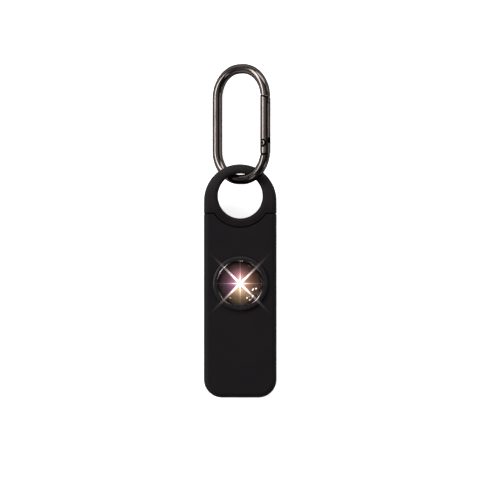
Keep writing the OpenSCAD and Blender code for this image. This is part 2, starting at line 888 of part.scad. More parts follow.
module top_rear_half() {
    color([0.14, 0.13, 0.14])
        union() {
            difference() {
                top_half(-1, seam_z);
                pin_pocket();
            }
            for (x = [-peg_x, peg_x])
                translate([x, peg_y, seam_z - 1])
                    cylinder(h = peg_len + 1, d = peg_d);
        }
}

module pull_pin() {
    color(steel)
        union() {
            rod_y(0, seam_z, pin_tip_y, pin_flange_y + 0.1, pin_d / 2);
            rod_y(0, seam_z, pin_flange_y, pin_flange_y + pin_flange_t, pin_flange_d / 2);
        }
}

// places the carabiner's own plane in the ring
module hook_place() {
    translate([hook_x, 0, hook_z])
        rotate([0, -hook_yaw, 0])
            children();
}

module hook_bend(x, y, a) {
    translate([x, y, 0])
        rotate([0, 0, a])
            rotate_extrude(angle = 90)
                translate([hook_bend_r, 0])
                    circle(r = wire_r);
}

// closed loop of wire in its own plane
module hook_loop() {
    in_x = hook_half - hook_bend_r;
    low = hook_y0 + hook_bend_r;
    high = hook_y1 - hook_bend_r;
    hook_bend(in_x, low, -90);
    hook_bend(in_x, high, 0);
    hook_bend(-in_x, high, 90);
    hook_bend(-in_x, low, 180);
    rod_y(-hook_half, 0, low, high, wire_r);
    rod_y(hook_half, 0, low, high, wire_r);
    for (y = [hook_y0, hook_y1])
        translate([-in_x, y, 0])
            rotate([0, 90, 0])
                cylinder(h = 2 * in_x, r = wire_r);
}

// slanted block whose upper face is the joint above the gate
module joint_block(y) {
    translate([hook_half, y, 0])
        rotate([0, 0, -joint_slant])
            translate([-gate_len, -2 * gate_len, -gate_d])
                cube([2 * gate_len, 2 * gate_len, 2 * gate_d]);
}

module carabiner_frame() {
    open_y0 = gate_y0 - gate_gap_low;
    color(gunmetal)
        hook_place()
            difference() {
                union() {
                    difference() {
                        hook_loop();
                        intersection() {
                            translate([hook_half - 3, open_y0, -3])
                                cube([6, gate_len + 10, 6]);
                            joint_block(gate_y1 + gate_gap_top);
                        }
                    }
                    intersection() {
                        rod_y(hook_half, 0, open_y0 - 0.3, rivet_y, wire_r);
                        translate([hook_half - eye_d / 2, open_y0 - 1, -tongue_t / 2])
                            cube([eye_d / 2 + wire_r + 1, rivet_y - open_y0 + 2, tongue_t]);
                    }
                    translate([hook_half - eye_throw, rivet_y, -tongue_t / 2])
                        cylinder(h = tongue_t, d = eye_d);
                    translate([hook_half, rivet_y, -tongue_t / 2])
                        cylinder(h = tongue_t, d = eye_d - 0.1);
                    intersection() {
                        rod_y(hook_half, 0, gate_y1 - nose_len, gate_y1 + 1, wire_r);
                        translate([hook_half - 0.2, gate_y1 - nose_len - 1, -tongue_t / 2])
                            cube([wire_d, nose_len + 4, tongue_t]);
                    }
                }
                translate([hook_half, rivet_y, -3])
                    cylinder(h = 6, r = rivet_d / 2 + rivet_fit);
            }
}

module gate_tube() {
    color([0.36, 0.33, 0.33])
        hook_place()
            difference() {
                intersection() {
                    rod_y(hook_half, 0, gate_y0, gate_y1 + 2, gate_r);
                    joint_block(gate_y1);
                }
                translate([hook_half - 3, gate_y0 - 1, -slot_n / 2])
                    cube([6, fork_top_y - gate_y0 + 1, slot_n]);
                translate([hook_half - 0.2 - tongue_fit, gate_y1 - nose_len - 0.3, -slot_n / 2])
                    cube([6, nose_len + 6, slot_n]);
                rod_y(hook_half, 0, fork_top_y - 1, gate_bore_top_y, gate_bore_d / 2);
                translate([hook_half, rivet_y, -3])
                    cylinder(h = 6, d = rivet_d);
                for (s = [0, 1])
                    mirror([0, 0, s])
                        translate([hook_half, rivet_y, spot_n])
                            cylinder(h = 3, d = rivet_head_d);
            }
}

module gate_rivet() {
    color([0.42, 0.39, 0.38])
        hook_place()
            translate([hook_half, rivet_y, 0])
                union() {
                    translate([0, 0, -spot_n])
                        cylinder(h = 2 * spot_n, d = rivet_d);
                    for (s = [0, 1])
                        mirror([0, 0, s])
                            translate([0, 0, spot_n])
                                cylinder(h = rivet_head_h, d = rivet_head_d);
                }
}

module gate_spring() {
    color(steel)
        hook_place()
            difference() {
                rod_y(hook_half, 0, gate_spring_y, gate_bore_top_y, spring_r);
                rod_y(hook_half, 0, gate_spring_y - 1, gate_bore_top_y + 1, spring_r - gate_spring_wire);
            }
}

module gate_plunger() {
    color(steel)
        hook_place()
            rod_y(hook_half, 0, gate_plunger_y, gate_spring_y, spring_r);
}

front_shell();
rear_shell();
case_screws();
lens_dome();
lens_bezel();
reflector_cup();
strobe_led();
circuit_board();
board_screws();
control_chip();
chip_resistors();
driver_transistor();
filter_capacitor();
coil_core();
coil_winding();
lower_cell();
upper_cell();
battery_cradle();
positive_clip();
negative_contact();
piezo_disc();
piezo_ceramic();
sounder_seal();
sound_mesh();
piezo_wires();
pin_socket();
pin_seal();
switch_case();
switch_plunger();
top_front_half();
top_rear_half();
pull_pin();
carabiner_frame();
gate_tube();
gate_rivet();
gate_spring();
gate_plunger();
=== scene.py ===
"""Personal safety alarm, lying on its back: soft-touch case, lit strobe lens, pull-off ring top and carabiner."""

import math

import bpy
from mathutils import Matrix, Vector


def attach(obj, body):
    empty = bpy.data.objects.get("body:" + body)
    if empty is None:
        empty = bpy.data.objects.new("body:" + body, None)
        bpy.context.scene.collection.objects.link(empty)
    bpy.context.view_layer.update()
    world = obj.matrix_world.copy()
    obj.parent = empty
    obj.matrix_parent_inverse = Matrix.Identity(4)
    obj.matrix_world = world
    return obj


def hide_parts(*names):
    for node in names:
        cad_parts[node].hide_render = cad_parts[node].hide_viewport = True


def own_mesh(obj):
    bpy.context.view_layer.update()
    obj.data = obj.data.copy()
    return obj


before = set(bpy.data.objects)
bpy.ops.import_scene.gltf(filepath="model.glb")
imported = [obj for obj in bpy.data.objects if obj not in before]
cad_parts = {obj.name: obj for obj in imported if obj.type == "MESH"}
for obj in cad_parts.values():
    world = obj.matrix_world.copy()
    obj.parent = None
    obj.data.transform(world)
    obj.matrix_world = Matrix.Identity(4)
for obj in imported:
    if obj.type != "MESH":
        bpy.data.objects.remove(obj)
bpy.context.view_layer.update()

# ---------------------------------------------------------------------------
# Sizes in millimetres, as in the part's source; the gate's upper end is 0.4 mm lower and 4 degrees steeper,
# so that its slit shows
# ---------------------------------------------------------------------------
HALF_W, BODY_T, TAIL_Y, CORNER_R, EDGE_R, WALL = 14.0, 16.0, -43.9, 7.0, 2.0, 1.6
SEAM_Z, SHOULDER_Y, PARTING = 9.3, 27.1, 0.35
CASE_TOP_Y = SHOULDER_Y - PARTING
HOLE_Y, HOLE_R, BAND_R, ARC_Y = 33.8, 8.65, 12.0, 32.1
TIP_T, SWEEP_LEN, RIM_R = 2.8, 15.4, 1.6
SCREW_SPOTS = ((9.8, 14.0), (-9.8, 14.0), (9.03, -39.2), (-9.03, -39.2))
SOUND_Y, PORT_RING = -28.5, 4.0
WIRE_R, HOOK_HALF, HOOK_BEND = 1.9, 11.9, 11.2
HOOK_Y0, HOOK_Y1 = 40.2, 83.0
GATE_R, GATE_Y0, GATE_Y1, RIVET_Y = 2.0, 50.1, 71.9, 54.1
GATE_SLANT, LOW_SLIT, TOP_SLIT = 18, 0.35, 0.6
TONGUE_Y0, TONGUE_T, TONGUE_OUT, SLOT_T, FORK_Y1 = 48.6, 1.3, 1.75, 1.8, 56.2
SPOT_Z, SPOT_R, SHANK_R, BORE_Y0, BORE_R = 1.34, 1.62, 0.75, 55.0, 1.15
SPRING_Y0, SPRING_Y1, SPRING_R, SPRING_WIRE, SPRING_TURNS = 58.07, 66.07, 1.1, 0.35, 9
HOOK_PLACE = Matrix.Translation((0.4, 0, 9.4)) @ Matrix.Rotation(math.radians(-38.7899), 4, "Y")
SLANT = Vector((math.sin(math.radians(GATE_SLANT)), math.cos(math.radians(GATE_SLANT)), 0))
LENS_R, LENS_RIM_R, LENS_HOLLOW_R, LENS_HOLE_R, LENS_FLANGE_R = 8.8, 8.57, 8.3, 9.3, 10.3
FLANGE_Z, FRONT_IN_Z = 13.6, 14.4
DIODE_Z, DIODE_R, DIODE_H = 11.6, 2.0, 1.5
FRONT_LIP_Z, REAR_LIP_Z, LIP_CLEAR = 13.2, 4.0, 0.003
SCREW_BOSS_R, SCREW_POST_R, HEAD_WELL_R, PORT_R = 2.8, 1.9, 2.0, 0.7


# ---------------------------------------------------------------------------
# Modelling, as by hand: a primitive, edit-mode tools, modifiers
# ---------------------------------------------------------------------------
def work_on(piece=None):
    """Object mode with only this piece selected."""
    active = bpy.context.view_layer.objects.active
    if active is not None and active.mode != "OBJECT":
        bpy.ops.object.mode_set(mode="OBJECT")
    bpy.ops.object.select_all(action="DESELECT")
    if piece is not None:
        bpy.context.view_layer.objects.active = piece
        piece.select_set(True)


def begin(name, primitive, **options):
    """A new primitive with its place in its mesh."""
    work_on()
    primitive(**options)
    piece = bpy.context.object
    piece.name = piece.data.name = name
    bpy.ops.object.transform_apply(location=True, rotation=True, scale=True)
    return piece


def block(name, low, high):
    piece = begin(name, bpy.ops.mesh.primitive_cube_add, size=1)
    piece.scale = [b - a for a, b in zip(low, high)]
    piece.location = [(a + b) / 2 for a, b in zip(low, high)]
    bpy.ops.object.transform_apply(location=True, rotation=True, scale=True)
    return piece


def bar(name, start, end, radius, sides=64):
    start, end = Vector(start), Vector(end)
    turn = (end - start).to_track_quat("Z", "Y").to_euler()
    return begin(name, bpy.ops.mesh.primitive_cylinder_add, vertices=sides, radius=radius,
                 depth=(end - start).length, location=(start + end) / 2, rotation=turn)


def pick(piece, kind, test):
    """Edit mode with the vertices, edges or faces selected that pass the test."""
    work_on(piece)
    mesh = piece.data
    for group in (mesh.vertices, mesh.edges, mesh.polygons):
        group.foreach_set("select", [False] * len(group))
    bpy.context.tool_settings.mesh_select_mode = [kind == k for k in ("VERT", "EDGE", "FACE")]
    if kind == "VERT":
        mesh.vertices.foreach_set("select", [test(v.co) for v in mesh.vertices])
    elif kind == "EDGE":
        ends = [[mesh.vertices[i].co for i in e.vertices] for e in mesh.edges]
        mesh.edges.foreach_set("select", [test(*pair) for pair in ends])
    else:
        mesh.polygons.foreach_set("select", [test(f.center, f.normal) for f in mesh.polygons])
    bpy.ops.object.mode_set(mode="EDIT")


def break_edges(piece, width, test, segments=3, sharp=35):
    """Rounds the sharp edges that pass the test."""
    work_on(piece)
    bpy.context.tool_settings.mesh_select_mode = (False, True, False)
    bpy.ops.object.mode_set(mode="EDIT")
    bpy.ops.mesh.select_all(action="DESELECT")
    bpy.ops.mesh.edges_select_sharp(sharpness=math.radians(sharp))
    bpy.ops.object.mode_set(mode="OBJECT")
    mesh = piece.data
    sharp_edges = {e.index for e in mesh.edges if e.select}
    spots = {e.index: [mesh.vertices[i].co.copy() for i in e.vertices] for e in mesh.edges if e.select}
    for group in (mesh.vertices, mesh.polygons):
        group.foreach_set("select", [False] * len(group))
    mesh.edges.foreach_set("select", [e.index in sharp_edges and test(*spots[e.index]) for e in mesh.edges])
    bpy.ops.object.mode_set(mode="EDIT")
    bpy.ops.mesh.bevel(offset=width, segments=segments, affect="EDGES", clamp_overlap=True)
    bpy.ops.object.mode_set(mode="OBJECT")


def apply_all(piece):
    work_on(piece)
    for modifier in list(piece.modifiers):
        bpy.ops.object.modifier_apply(modifier=modifier.name)


def cut(piece, tool, operation="DIFFERENCE"):
    """Takes a tool body away from a piece, or adds it."""
    modifier = piece.modifiers.new("cut", "BOOLEAN")
    modifier.object, modifier.operation, modifier.solver = tool, operation, "EXACT"
    apply_all(piece)
    bpy.data.objects.remove(tool)


def join(name, pieces):
    work_on(pieces[0])
    for piece in pieces[1:]:
        piece.select_set(True)
    bpy.ops.object.join()
    pieces[0].name = pieces[0].data.name = name
    return pieces[0]


def turned(name, profile, steps=96):
    """A turned piece: a profile of (radius, height) drawn point by point and spun about Z."""
    piece = begin(name, bpy.ops.mesh.primitive_plane_add, size=1)
    bpy.context.tool_settings.mesh_select_mode = (True, False, False)
    bpy.ops.object.mode_set(mode="EDIT")
    bpy.ops.mesh.select_all(action="SELECT")
    bpy.ops.mesh.merge(type="CENTER")
    bpy.ops.transform.translate(value=(profile[0][0], 0, profile[0][1]))
    for (r0, z0), (r1, z1) in zip(profile, profile[1:]):
        bpy.ops.mesh.extrude_vertices_move(TRANSFORM_OT_translate={"value": (r1 - r0, 0, z1 - z0)})
    bpy.ops.mesh.select_all(action="SELECT")
    bpy.ops.mesh.spin(steps=steps, angle=2 * math.pi, center=(0, 0, 0), axis=(0, 0, 1))
    tidy_faces(piece)
    return piece


def tidy_faces(piece):
    """Doubles merged and faces turned outwards."""
    work_on(piece)
    bpy.ops.object.mode_set(mode="EDIT")
    bpy.ops.mesh.select_all(action="SELECT")
    bpy.ops.mesh.remove_doubles(threshold=0.0005)
    bpy.ops.mesh.normals_make_consistent(inside=False)
    bpy.ops.object.mode_set(mode="OBJECT")


def smooth(piece, angle=38, weighted=True):
    work_on(piece)
    bpy.ops.object.shade_smooth_by_angle(angle=math.radians(angle))
    if weighted:
        modifier = piece.modifiers.new("even", "WEIGHTED_NORMAL")
        modifier.keep_sharp, modifier.weight = True, 60
        apply_all(piece)


def settle(piece, material, body, slot, *nodes):
    """Millimetres to metres, then the finish, the body that carries the piece and the nodes it stands for."""
    work_on(piece)
    piece.scale = (0.001, 0.001, 0.001)
    bpy.ops.object.transform_apply(location=True, rotation=True, scale=True)
    piece.data.materials.clear()
    piece.data.materials.append(material)
    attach(piece, body)
    if nodes:
        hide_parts(*nodes)
    return piece


def bow(cx, cz, radius, first, last, count):
    """Points on an arc of a profile, angles in degrees from the radius axis."""
    turns = [math.radians(first + (last - first) * i / count) for i in range(count + 1)]
    return [(cx + radius * math.cos(t), cz + radius * math.sin(t)) for t in turns]


# ---------------------------------------------------------------------------
# Materials
# ---------------------------------------------------------------------------
def linear(code):
    """sRGB hex to linear colour."""
    parts = [int(code[i:i + 2], 16) / 255 for i in (1, 3, 5)]
    return (*[c / 12.92 if c <= 0.04045 else ((c + 0.055) / 1.055) ** 2.4 for c in parts], 1)


def add(tree, kind, links=None, stops=(), **settings):
    """One node with its settings; a link is a socket to read from or a plain value, and stops are (place, hex)."""
    made = tree.nodes.new(kind)
    for key, value in settings.items():
        setattr(made, key, value)
    for socket, source in (links or {}).items():
        if isinstance(source, bpy.types.NodeSocket):
            tree.links.new(source, made.inputs[socket])
        else:
            made.inputs[socket].default_value = source
    for i, (place, code) in enumerate(stops):
        mark = made.color_ramp.elements[i] if i < 2 else made.color_ramp.elements.new(place)
        mark.position, mark.color = place, linear(code)
    return made


def finish(name, light, dark, cloud_mm, rough, grain_mm, relief_mm, **sockets):
    """A finish whose colour drifts between two tones over cloud_mm, with a grain of grain_mm that stands
    relief_mm proud; rough is the lowest and highest roughness over the same clouds."""
    material = bpy.data.materials.new(name)
    material.use_nodes = True
    tree = material.node_tree
    shader = tree.nodes["Principled BSDF"]
    place = add(tree, "ShaderNodeTexCoord").outputs["Object"]
    cloud = add(tree, "ShaderNodeTexNoise", {"Vector": place, "Scale": 1000 / cloud_mm, "Detail": 4.0})
    grain = add(tree, "ShaderNodeTexNoise", {"Vector": place, "Scale": 1000 / grain_mm, "Detail": 2.0})
    colour = add(tree, "ShaderNodeValToRGB", {"Fac": cloud.outputs["Fac"]}, ((0.3, dark), (0.7, light)))
    tree.links.new(colour.outputs["Color"], shader.inputs["Base Color"])
    spread = add(tree, "ShaderNodeMapRange", {"Value": cloud.outputs["Fac"], "From Min": 0.3, "From Max": 0.7,
                                              "To Min": rough[0], "To Max": rough[1]})
    tree.links.new(spread.outputs["Result"], shader.inputs["Roughness"])
    bump = add(tree, "ShaderNodeBump", {"Height": grain.outputs["Fac"], "Distance": relief_mm / 1000,
                                        "Strength": 1.0})
    tree.links.new(bump.outputs["Normal"], shader.inputs["Normal"])
    for socket, value in sockets.items():
        shader.inputs[socket.replace("_", " ")].default_value = value
    return material


# Polyurethane soft-touch paint over moulded ABS: almost black, no gloss, a faint velvet bloom at the edges.
# Its real grit of about 0.05 mm is drawn at 0.45 mm so that it shows.
soft_touch = finish("soft_touch_polyurethane_on_abs", "#171517", "#141215", 9.0, (0.62, 0.7), 0.45, 0.012,
                    **{"Specular_IOR_Level": 0.1, "Sheen_Weight": 0.02, "Sheen_Roughness": 0.5, "IOR": 1.5})
# Satin moulded polycarbonate for the bezel: dark, with a soft window of light on its rounded edge.
bezel_satin = finish("satin_polycarbonate_bezel", "#171517", "#121012", 2.0, (0.34, 0.42), 0.3, 0.002,
                     **{"IOR": 1.58, "Specular_IOR_Level": 0.22})
# Black-nickel plating on polished steel wire: warm dark mirror with soft streaks, greyer where it is rubbed.
black_nickel = finish("black_nickel_plated_steel", "#635d5a", "#565150", 6.0, (0.13, 0.2), 0.6, 0.0015,
                      **{"Metallic": 1.0, "Specular_Tint": linear("#1a1716")})
# Painted shade on the cut ends and slots of the carabiner and on its rivet: dull and black, where the gaps lie in
# shade.
painted_gap_shade = finish("steel_with_painted_gap_shade", "#141211", "#0b0a09", 0.8, (0.6, 0.75), 0.25, 0.003,
                   **{"Metallic": 1.0, "Specular_Tint": linear("#0a0909")})
# Bright zinc on the case screws.
zinc_plate = finish("zinc_plated_steel", "#a9abad", "#85888b", 1.2, (0.22, 0.36), 0.25, 0.004, Metallic=1.0)
# Hard chrome on the pull pin.
pin_chrome = finish("polished_chrome_steel", "#c9cacc", "#b2b4b7", 2.5, (0.08, 0.16), 0.4, 0.001, Metallic=1.0)
# Clear polycarbonate lens, polished mould and coated against glare: sharp, faint reflections, warm body colour.
clear_lens = finish("clear_polycarbonate_lens", "#fdf8f6", "#f6efee", 5.0, (0.01, 0.03), 2.5, 0.0001,
                    **{"Transmission_Weight": 1.0, "IOR": 1.585, "Specular_Tint": linear("#8c8a89")})


def ring_paint_lit_at_tip():
    """The same paint on the ring top, with painted light: lighter over the last 12 mm to the tip."""
    material = finish("soft_touch_on_ring_painted_light", "#151315", "#121012", 7.0, (0.56, 0.64), 0.45, 0.012,
                      **{"Specular_IOR_Level": 0.08, "Sheen_Weight": 0.02, "Sheen_Roughness": 0.5, "IOR": 1.5})
    tree = material.node_tree
    shader = tree.nodes["Principled BSDF"]
    place = add(tree, "ShaderNodeTexCoord").outputs["Object"]
    along = add(tree, "ShaderNodeSeparateXYZ", {"Vector": place}).outputs["Y"]
    # Painted light: a lighter tone from 34 mm to 46 mm, towards the tip
    toward_tip = add(tree, "ShaderNodeMapRange", {"Value": along, "From Min": 0.034, "From Max": 0.046})
    cloud = add(tree, "ShaderNodeTexNoise", {"Vector": place, "Scale": 1000 / 3.0, "Detail": 4.0})
    painted_light_tone = add(tree, "ShaderNodeValToRGB", {"Fac": cloud.outputs["Fac"]}, ((0.3, "#222022"), (0.7, "#282628")))
    base_tone = add(tree, "ShaderNodeValToRGB", {"Fac": cloud.outputs["Fac"]}, ((0.3, "#121012"), (0.7, "#151315")))
    both = add(tree, "ShaderNodeMix", {0: toward_tip.outputs["Result"], 6: base_tone.outputs["Color"],
                                       7: painted_light_tone.outputs["Color"]}, data_type="RGBA")
    tree.links.new(both.outputs[2], shader.inputs["Base Color"])
    return material


def reflector_with_painted_light():
    """Vacuum-metallised reflector under an iridescent lacquer: mauve, rose, brown and straw round the light,
    with painted light white beside the diode, painted shade darker towards the rim, and a painted glow."""
    material = finish("iridescent_reflector_painted_glow_and_shade", "#b9a7a2", "#8a7672", 1.5, (0.42, 0.5), 0.9, 0.015,
                      Metallic=0.25)
    tree = material.node_tree
    shader = tree.nodes["Principled BSDF"]
    place = add(tree, "ShaderNodeTexCoord").outputs["Object"]
    turn = add(tree, "ShaderNodeTexGradient", {"Vector": place}, gradient_type="RADIAL")
    tint = add(tree, "ShaderNodeValToRGB", {"Fac": turn.outputs["Fac"]},
               ((0.0, "#8a5a78"), (0.10, "#875a76"), (0.15, "#b49b78"), (0.25, "#bfa27a"), (0.36, "#b4987a"),
                (0.42, "#96725e"), (0.5, "#8a624e"), (0.62, "#8c6858"), (0.70, "#b48080"), (0.78, "#c08890"),
                (0.88, "#9c667e"), (1.0, "#8a5a78")))
    flat = add(tree, "ShaderNodeVectorMath", {0: place, 1: (1, 1, 0)}, operation="MULTIPLY")
    out = add(tree, "ShaderNodeVectorMath", {0: flat.outputs["Vector"]}, operation="LENGTH")
    share = add(tree, "ShaderNodeMapRange", {"Value": out.outputs["Value"], "From Min": 0.002, "From Max": 0.0088})
    # Painted light and shade: white beside the diode, darker towards the rim
    shade = add(tree, "ShaderNodeValToRGB", {"Fac": share.outputs["Result"]},
                ((0.0, "#ffffff"), (0.45, "#c8c8c8"), (0.72, "#a0a0a0"), (0.88, "#404040"), (1.0, "#141414")))
    both = add(tree, "ShaderNodeMix", {0: 1.0, 6: tint.outputs["Color"], 7: shade.outputs["Color"]},
               data_type="RGBA", blend_type="MULTIPLY")
    tree.links.new(both.outputs[2], shader.inputs["Base Color"])
    # Painted glow, an emission that stands in for light of the diode scattered in the lens and lacquer, strongest
    # beside it
    left = add(tree, "ShaderNodeMath", {0: 1.0, 1: share.outputs["Result"]}, operation="SUBTRACT")
    drop = add(tree, "ShaderNodeMath", {0: left.outputs["Value"], 1: 3.0}, operation="POWER")
    diode_glow_painted = add(tree, "ShaderNodeMath", {0: drop.outputs["Value"], 1: 1.7}, operation="MULTIPLY")
    tree.links.new(tint.outputs["Color"], shader.inputs["Emission Color"])
    tree.links.new(diode_glow_painted.outputs["Value"], shader.inputs["Emission Strength"])
    return material


def lit_chip():
    """Phosphor of the lit diode: white-hot over the die, fading to a warm glow at the edge of its dome."""
    material = finish("lit_phosphor", "#fff8f4", "#fff1ea", 1.0, (0.4, 0.5), 0.4, 0.002)
    tree = material.node_tree
    shader = tree.nodes["Principled BSDF"]
    place = add(tree, "ShaderNodeTexCoord").outputs["Object"]
    cloud = add(tree, "ShaderNodeTexNoise", {"Vector": place, "Scale": 1000 / 0.8, "Detail": 2.0})
    glow = add(tree, "ShaderNodeValToRGB", {"Fac": cloud.outputs["Fac"]}, ((0.35, "#ffe6e4"), (0.65, "#fff4f2")))
    tree.links.new(glow.outputs["Color"], shader.inputs["Emission Color"])
    flat = add(tree, "ShaderNodeVectorMath", {0: place, 1: (1, 1, 0)}, operation="MULTIPLY")
    out = add(tree, "ShaderNodeVectorMath", {0: flat.outputs["Vector"]}, operation="LENGTH")
    near = add(tree, "ShaderNodeMapRange", {"Value": out.outputs["Value"], "From Min": 0.0, "From Max": 0.002,
                                            "To Min": 1.0, "To Max": 0.0})
    peak = add(tree, "ShaderNodeMath", {0: near.outputs["Result"], 1: 45.0}, operation="POWER")
    power = add(tree, "ShaderNodeMath", {0: peak.outputs["Value"], 1: 15000.0, 2: 0.18}, operation="MULTIPLY_ADD")
    tree.links.new(power.outputs["Value"], shader.inputs["Emission Strength"])
    return material


def lens_edge_painted_arcs():
    """Metallised edge of the lens, with painted highlights: bright arcs painted on it and painted shade between
    them.
    """
    material = finish("metallised_lens_edge_painted_highlights", "#d9d4d0", "#c4bfbc", 1.0, (0.06, 0.12), 0.4, 0.001,
                      Metallic=1.0)
    tree = material.node_tree
    shader = tree.nodes["Principled BSDF"]
    place = add(tree, "ShaderNodeTexCoord").outputs["Object"]
    turn = add(tree, "ShaderNodeTexGradient", {"Vector": place}, gradient_type="RADIAL")
    tone = add(tree, "ShaderNodeValToRGB", {"Fac": turn.outputs["Fac"]},
               ((0.04, "#221f20"), (0.08, "#b8b0ac"), (0.15, "#d0c8c4"), (0.18, "#2a2627"), (0.32, "#2a2627"),
                (0.35, "#c8c0bc"), (0.42, "#d0c8c4"), (0.45, "#2a2627"), (0.55, "#2a2627"), (0.6, "#a09896"),
                (0.66, "#c0b8b4"), (0.69, "#2a2627"), (0.73, "#2a2627"), (0.75, "#a09896"), (0.77, "#2a2627"),
                (0.82, "#2a2627"), (0.84, "#d0c8c4"), (0.92, "#e0d8d4"), (0.97, "#221f20")))
    tree.links.new(tone.outputs["Color"], shader.inputs["Base Color"])
    return material


# Ring top paint with painted light, lighter towards the tip
ring_paint = ring_paint_lit_at_tip()
reflector_lacquer_painted_light, led_phosphor, lens_edge_painted_highlights = reflector_with_painted_light(), lit_chip(), lens_edge_painted_arcs()
# Fired white ceramic of the diode's package.
diode_ceramic = finish("white_diode_ceramic", "#efece6", "#e2ded6", 1.0, (0.45, 0.55), 0.3, 0.003)
# Vacuum-metallised bright trim, a clean mirror.
bright_trim = finish("vacuum_metallised_trim", "#d9d4d0", "#c4bfbc", 1.0, (0.06, 0.12), 0.4, 0.001, Metallic=1.0)

# Drawn music wire, bright with a little oil.
spring_steel = finish("drawn_spring_steel", "#b6b4b0", "#94918d", 0.8, (0.18, 0.3), 0.3, 0.002, Metallic=1.0)
# Copper wire under amber enamel.
enamelled_copper = finish("enamelled_copper_wire", "#b0612f", "#8a4522", 0.6, (0.18, 0.3), 0.2, 0.002,
                          **{"Metallic": 1.0, "Coat_Weight": 0.6, "Coat_Roughness": 0.1})
# Closed-cell foam, cut: matt, with open cells of 0.3 mm on the cut.
foam_cells = finish("closed_cell_foam", "#232326", "#151517", 0.6, (0.9, 0.97), 0.3, 0.06,
                    **{"Specular_IOR_Level": 0.1, "Sheen_Weight": 0.2})
# Epoxy moulding compound of chips and switches: near black with a fine sparkle of filler.
moulding_compound = finish("epoxy_moulding_compound", "#232325", "#161617", 0.7, (0.5, 0.65), 0.12, 0.004)
# Drawn aluminium can, satin.
drawn_aluminium = finish("drawn_aluminium_can", "#c3c5c9", "#a5a8ad", 1.0, (0.24, 0.36), 0.2, 0.002, Metallic=1.0)
# Sintered ferrite: dark grey, matt and slightly grainy.
sintered_ferrite = finish("sintered_ferrite", "#3a3838", "#282627", 0.5, (0.6, 0.75), 0.15, 0.006)
# Nickel-plated steel of the coin cells, rolled and lightly rubbed.
cell_steel = finish("nickel_plated_cell_steel", "#bcbec2", "#9b9ea4", 4.0, (0.2, 0.34), 0.35, 0.002, Metallic=1.0)
# Natural moulded ABS, ivory and half matt.
natural_abs = finish("natural_abs", "#d8d6cd", "#c9c6bb", 5.0, (0.45, 0.58), 0.4, 0.006)
# Rolled spring brass with a slight tarnish.
spring_brass = finish("rolled_spring_brass", "#c9a553", "#a8853c", 2.0, (0.22, 0.38), 0.3, 0.002, Metallic=1.0)
# Fired silver on the piezo ceramic: pale and dull.
silvered_ceramic = finish("silvered_piezo_ceramic", "#e0ddd4", "#cbc8c0", 1.2, (0.5, 0.62), 0.2, 0.003)
# Black nitrile rubber.
nitrile = finish("nitrile_rubber", "#1b1a1a", "#121111", 1.0, (0.5, 0.62), 0.2, 0.003)
# Red acetal of the switch's plunger.
red_acetal = finish("red_acetal", "#b4401f", "#983116", 1.0, (0.3, 0.42), 0.3, 0.003)


def board_lacquer():
    """Green solder resist over copper: the tracks, 0.5 mm wide, show as paler lines."""
    material = finish("green_solder_resist", "#1d5a38", "#164a2d", 6.0, (0.28, 0.4), 0.3, 0.004)
    tree = material.node_tree
    shader = tree.nodes["Principled BSDF"]
    place = add(tree, "ShaderNodeTexCoord").outputs["Object"]
    tracks = add(tree, "ShaderNodeTexWave", {"Vector": place, "Scale": 314 / 1.3, "Distortion": 5.0, "Detail": 1.0,
                                             "Detail Scale": 0.6})
    tone = add(tree, "ShaderNodeValToRGB", {"Fac": tracks.outputs["Fac"]}, ((0.55, "#175030"), (0.66, "#2c7348")))
    tree.links.new(tone.outputs["Color"], shader.inputs["Base Color"])
    return material


def woven_mesh():
    """Stainless wire cloth, 0.4 mm from wire to wire, dark between the wires."""
    material = finish("stainless_wire_cloth", "#8c8e90", "#6c6e70", 1.0, (0.3, 0.42), 0.2, 0.002, Metallic=1.0)
    tree = material.node_tree
    shader = tree.nodes["Principled BSDF"]
    place = add(tree, "ShaderNodeTexCoord").outputs["Object"]
    warp = add(tree, "ShaderNodeTexWave", {"Vector": place, "Scale": 314 / 0.4}, bands_direction="X")
    weft = add(tree, "ShaderNodeTexWave", {"Vector": place, "Scale": 314 / 0.4}, bands_direction="Y")
    crown = add(tree, "ShaderNodeMath", {0: warp.outputs["Fac"], 1: weft.outputs["Fac"]}, operation="MAXIMUM")
    tone = add(tree, "ShaderNodeValToRGB", {"Fac": crown.outputs["Value"]}, ((0.55, "#0c0c0d"), (0.75, "#8c8e90")))
    tree.links.new(tone.outputs["Color"], shader.inputs["Base Color"])
    rise = add(tree, "ShaderNodeBump", {"Height": crown.outputs["Value"], "Distance": 0.0001, "Strength": 1.0})
    tree.links.new(rise.outputs["Normal"], shader.inputs["Normal"])
    return material


def lead_pvc():
    """PVC on the siren's two leads: red on the right, black on the left."""
    material = finish("pvc_lead_insulation", "#a02015", "#86180f", 1.0, (0.35, 0.45), 0.2, 0.003)
    tree = material.node_tree
    shader = tree.nodes["Principled BSDF"]
    place = add(tree, "ShaderNodeTexCoord").outputs["Object"]
    across = add(tree, "ShaderNodeSeparateXYZ", {"Vector": place})
    right = add(tree, "ShaderNodeMath", {0: across.outputs["X"], 1: 0.0}, operation="GREATER_THAN")
    tone = add(tree, "ShaderNodeValToRGB", {"Fac": right.outputs["Value"]}, ((0.3, "#161515"), (0.7, "#9a1d13")))
    tree.links.new(tone.outputs["Color"], shader.inputs["Base Color"])
    return material


solder_resist, wire_cloth, lead_insulation = board_lacquer(), woven_mesh(), lead_pvc()


# ---------------------------------------------------------------------------
# Case
# ---------------------------------------------------------------------------
def case_outline(name, low, high, corner):
    """A block whose two bottom corners are rounded."""
    piece = block(name, low, high)
    pick(piece, "EDGE", lambda a, b: max(a.y, b.y) < low[1] + 0.01 and abs(a.x - b.x) < 0.01)
    bpy.ops.mesh.bevel(offset=corner, segments=24, affect="EDGES")
    work_on(piece)
    return piece


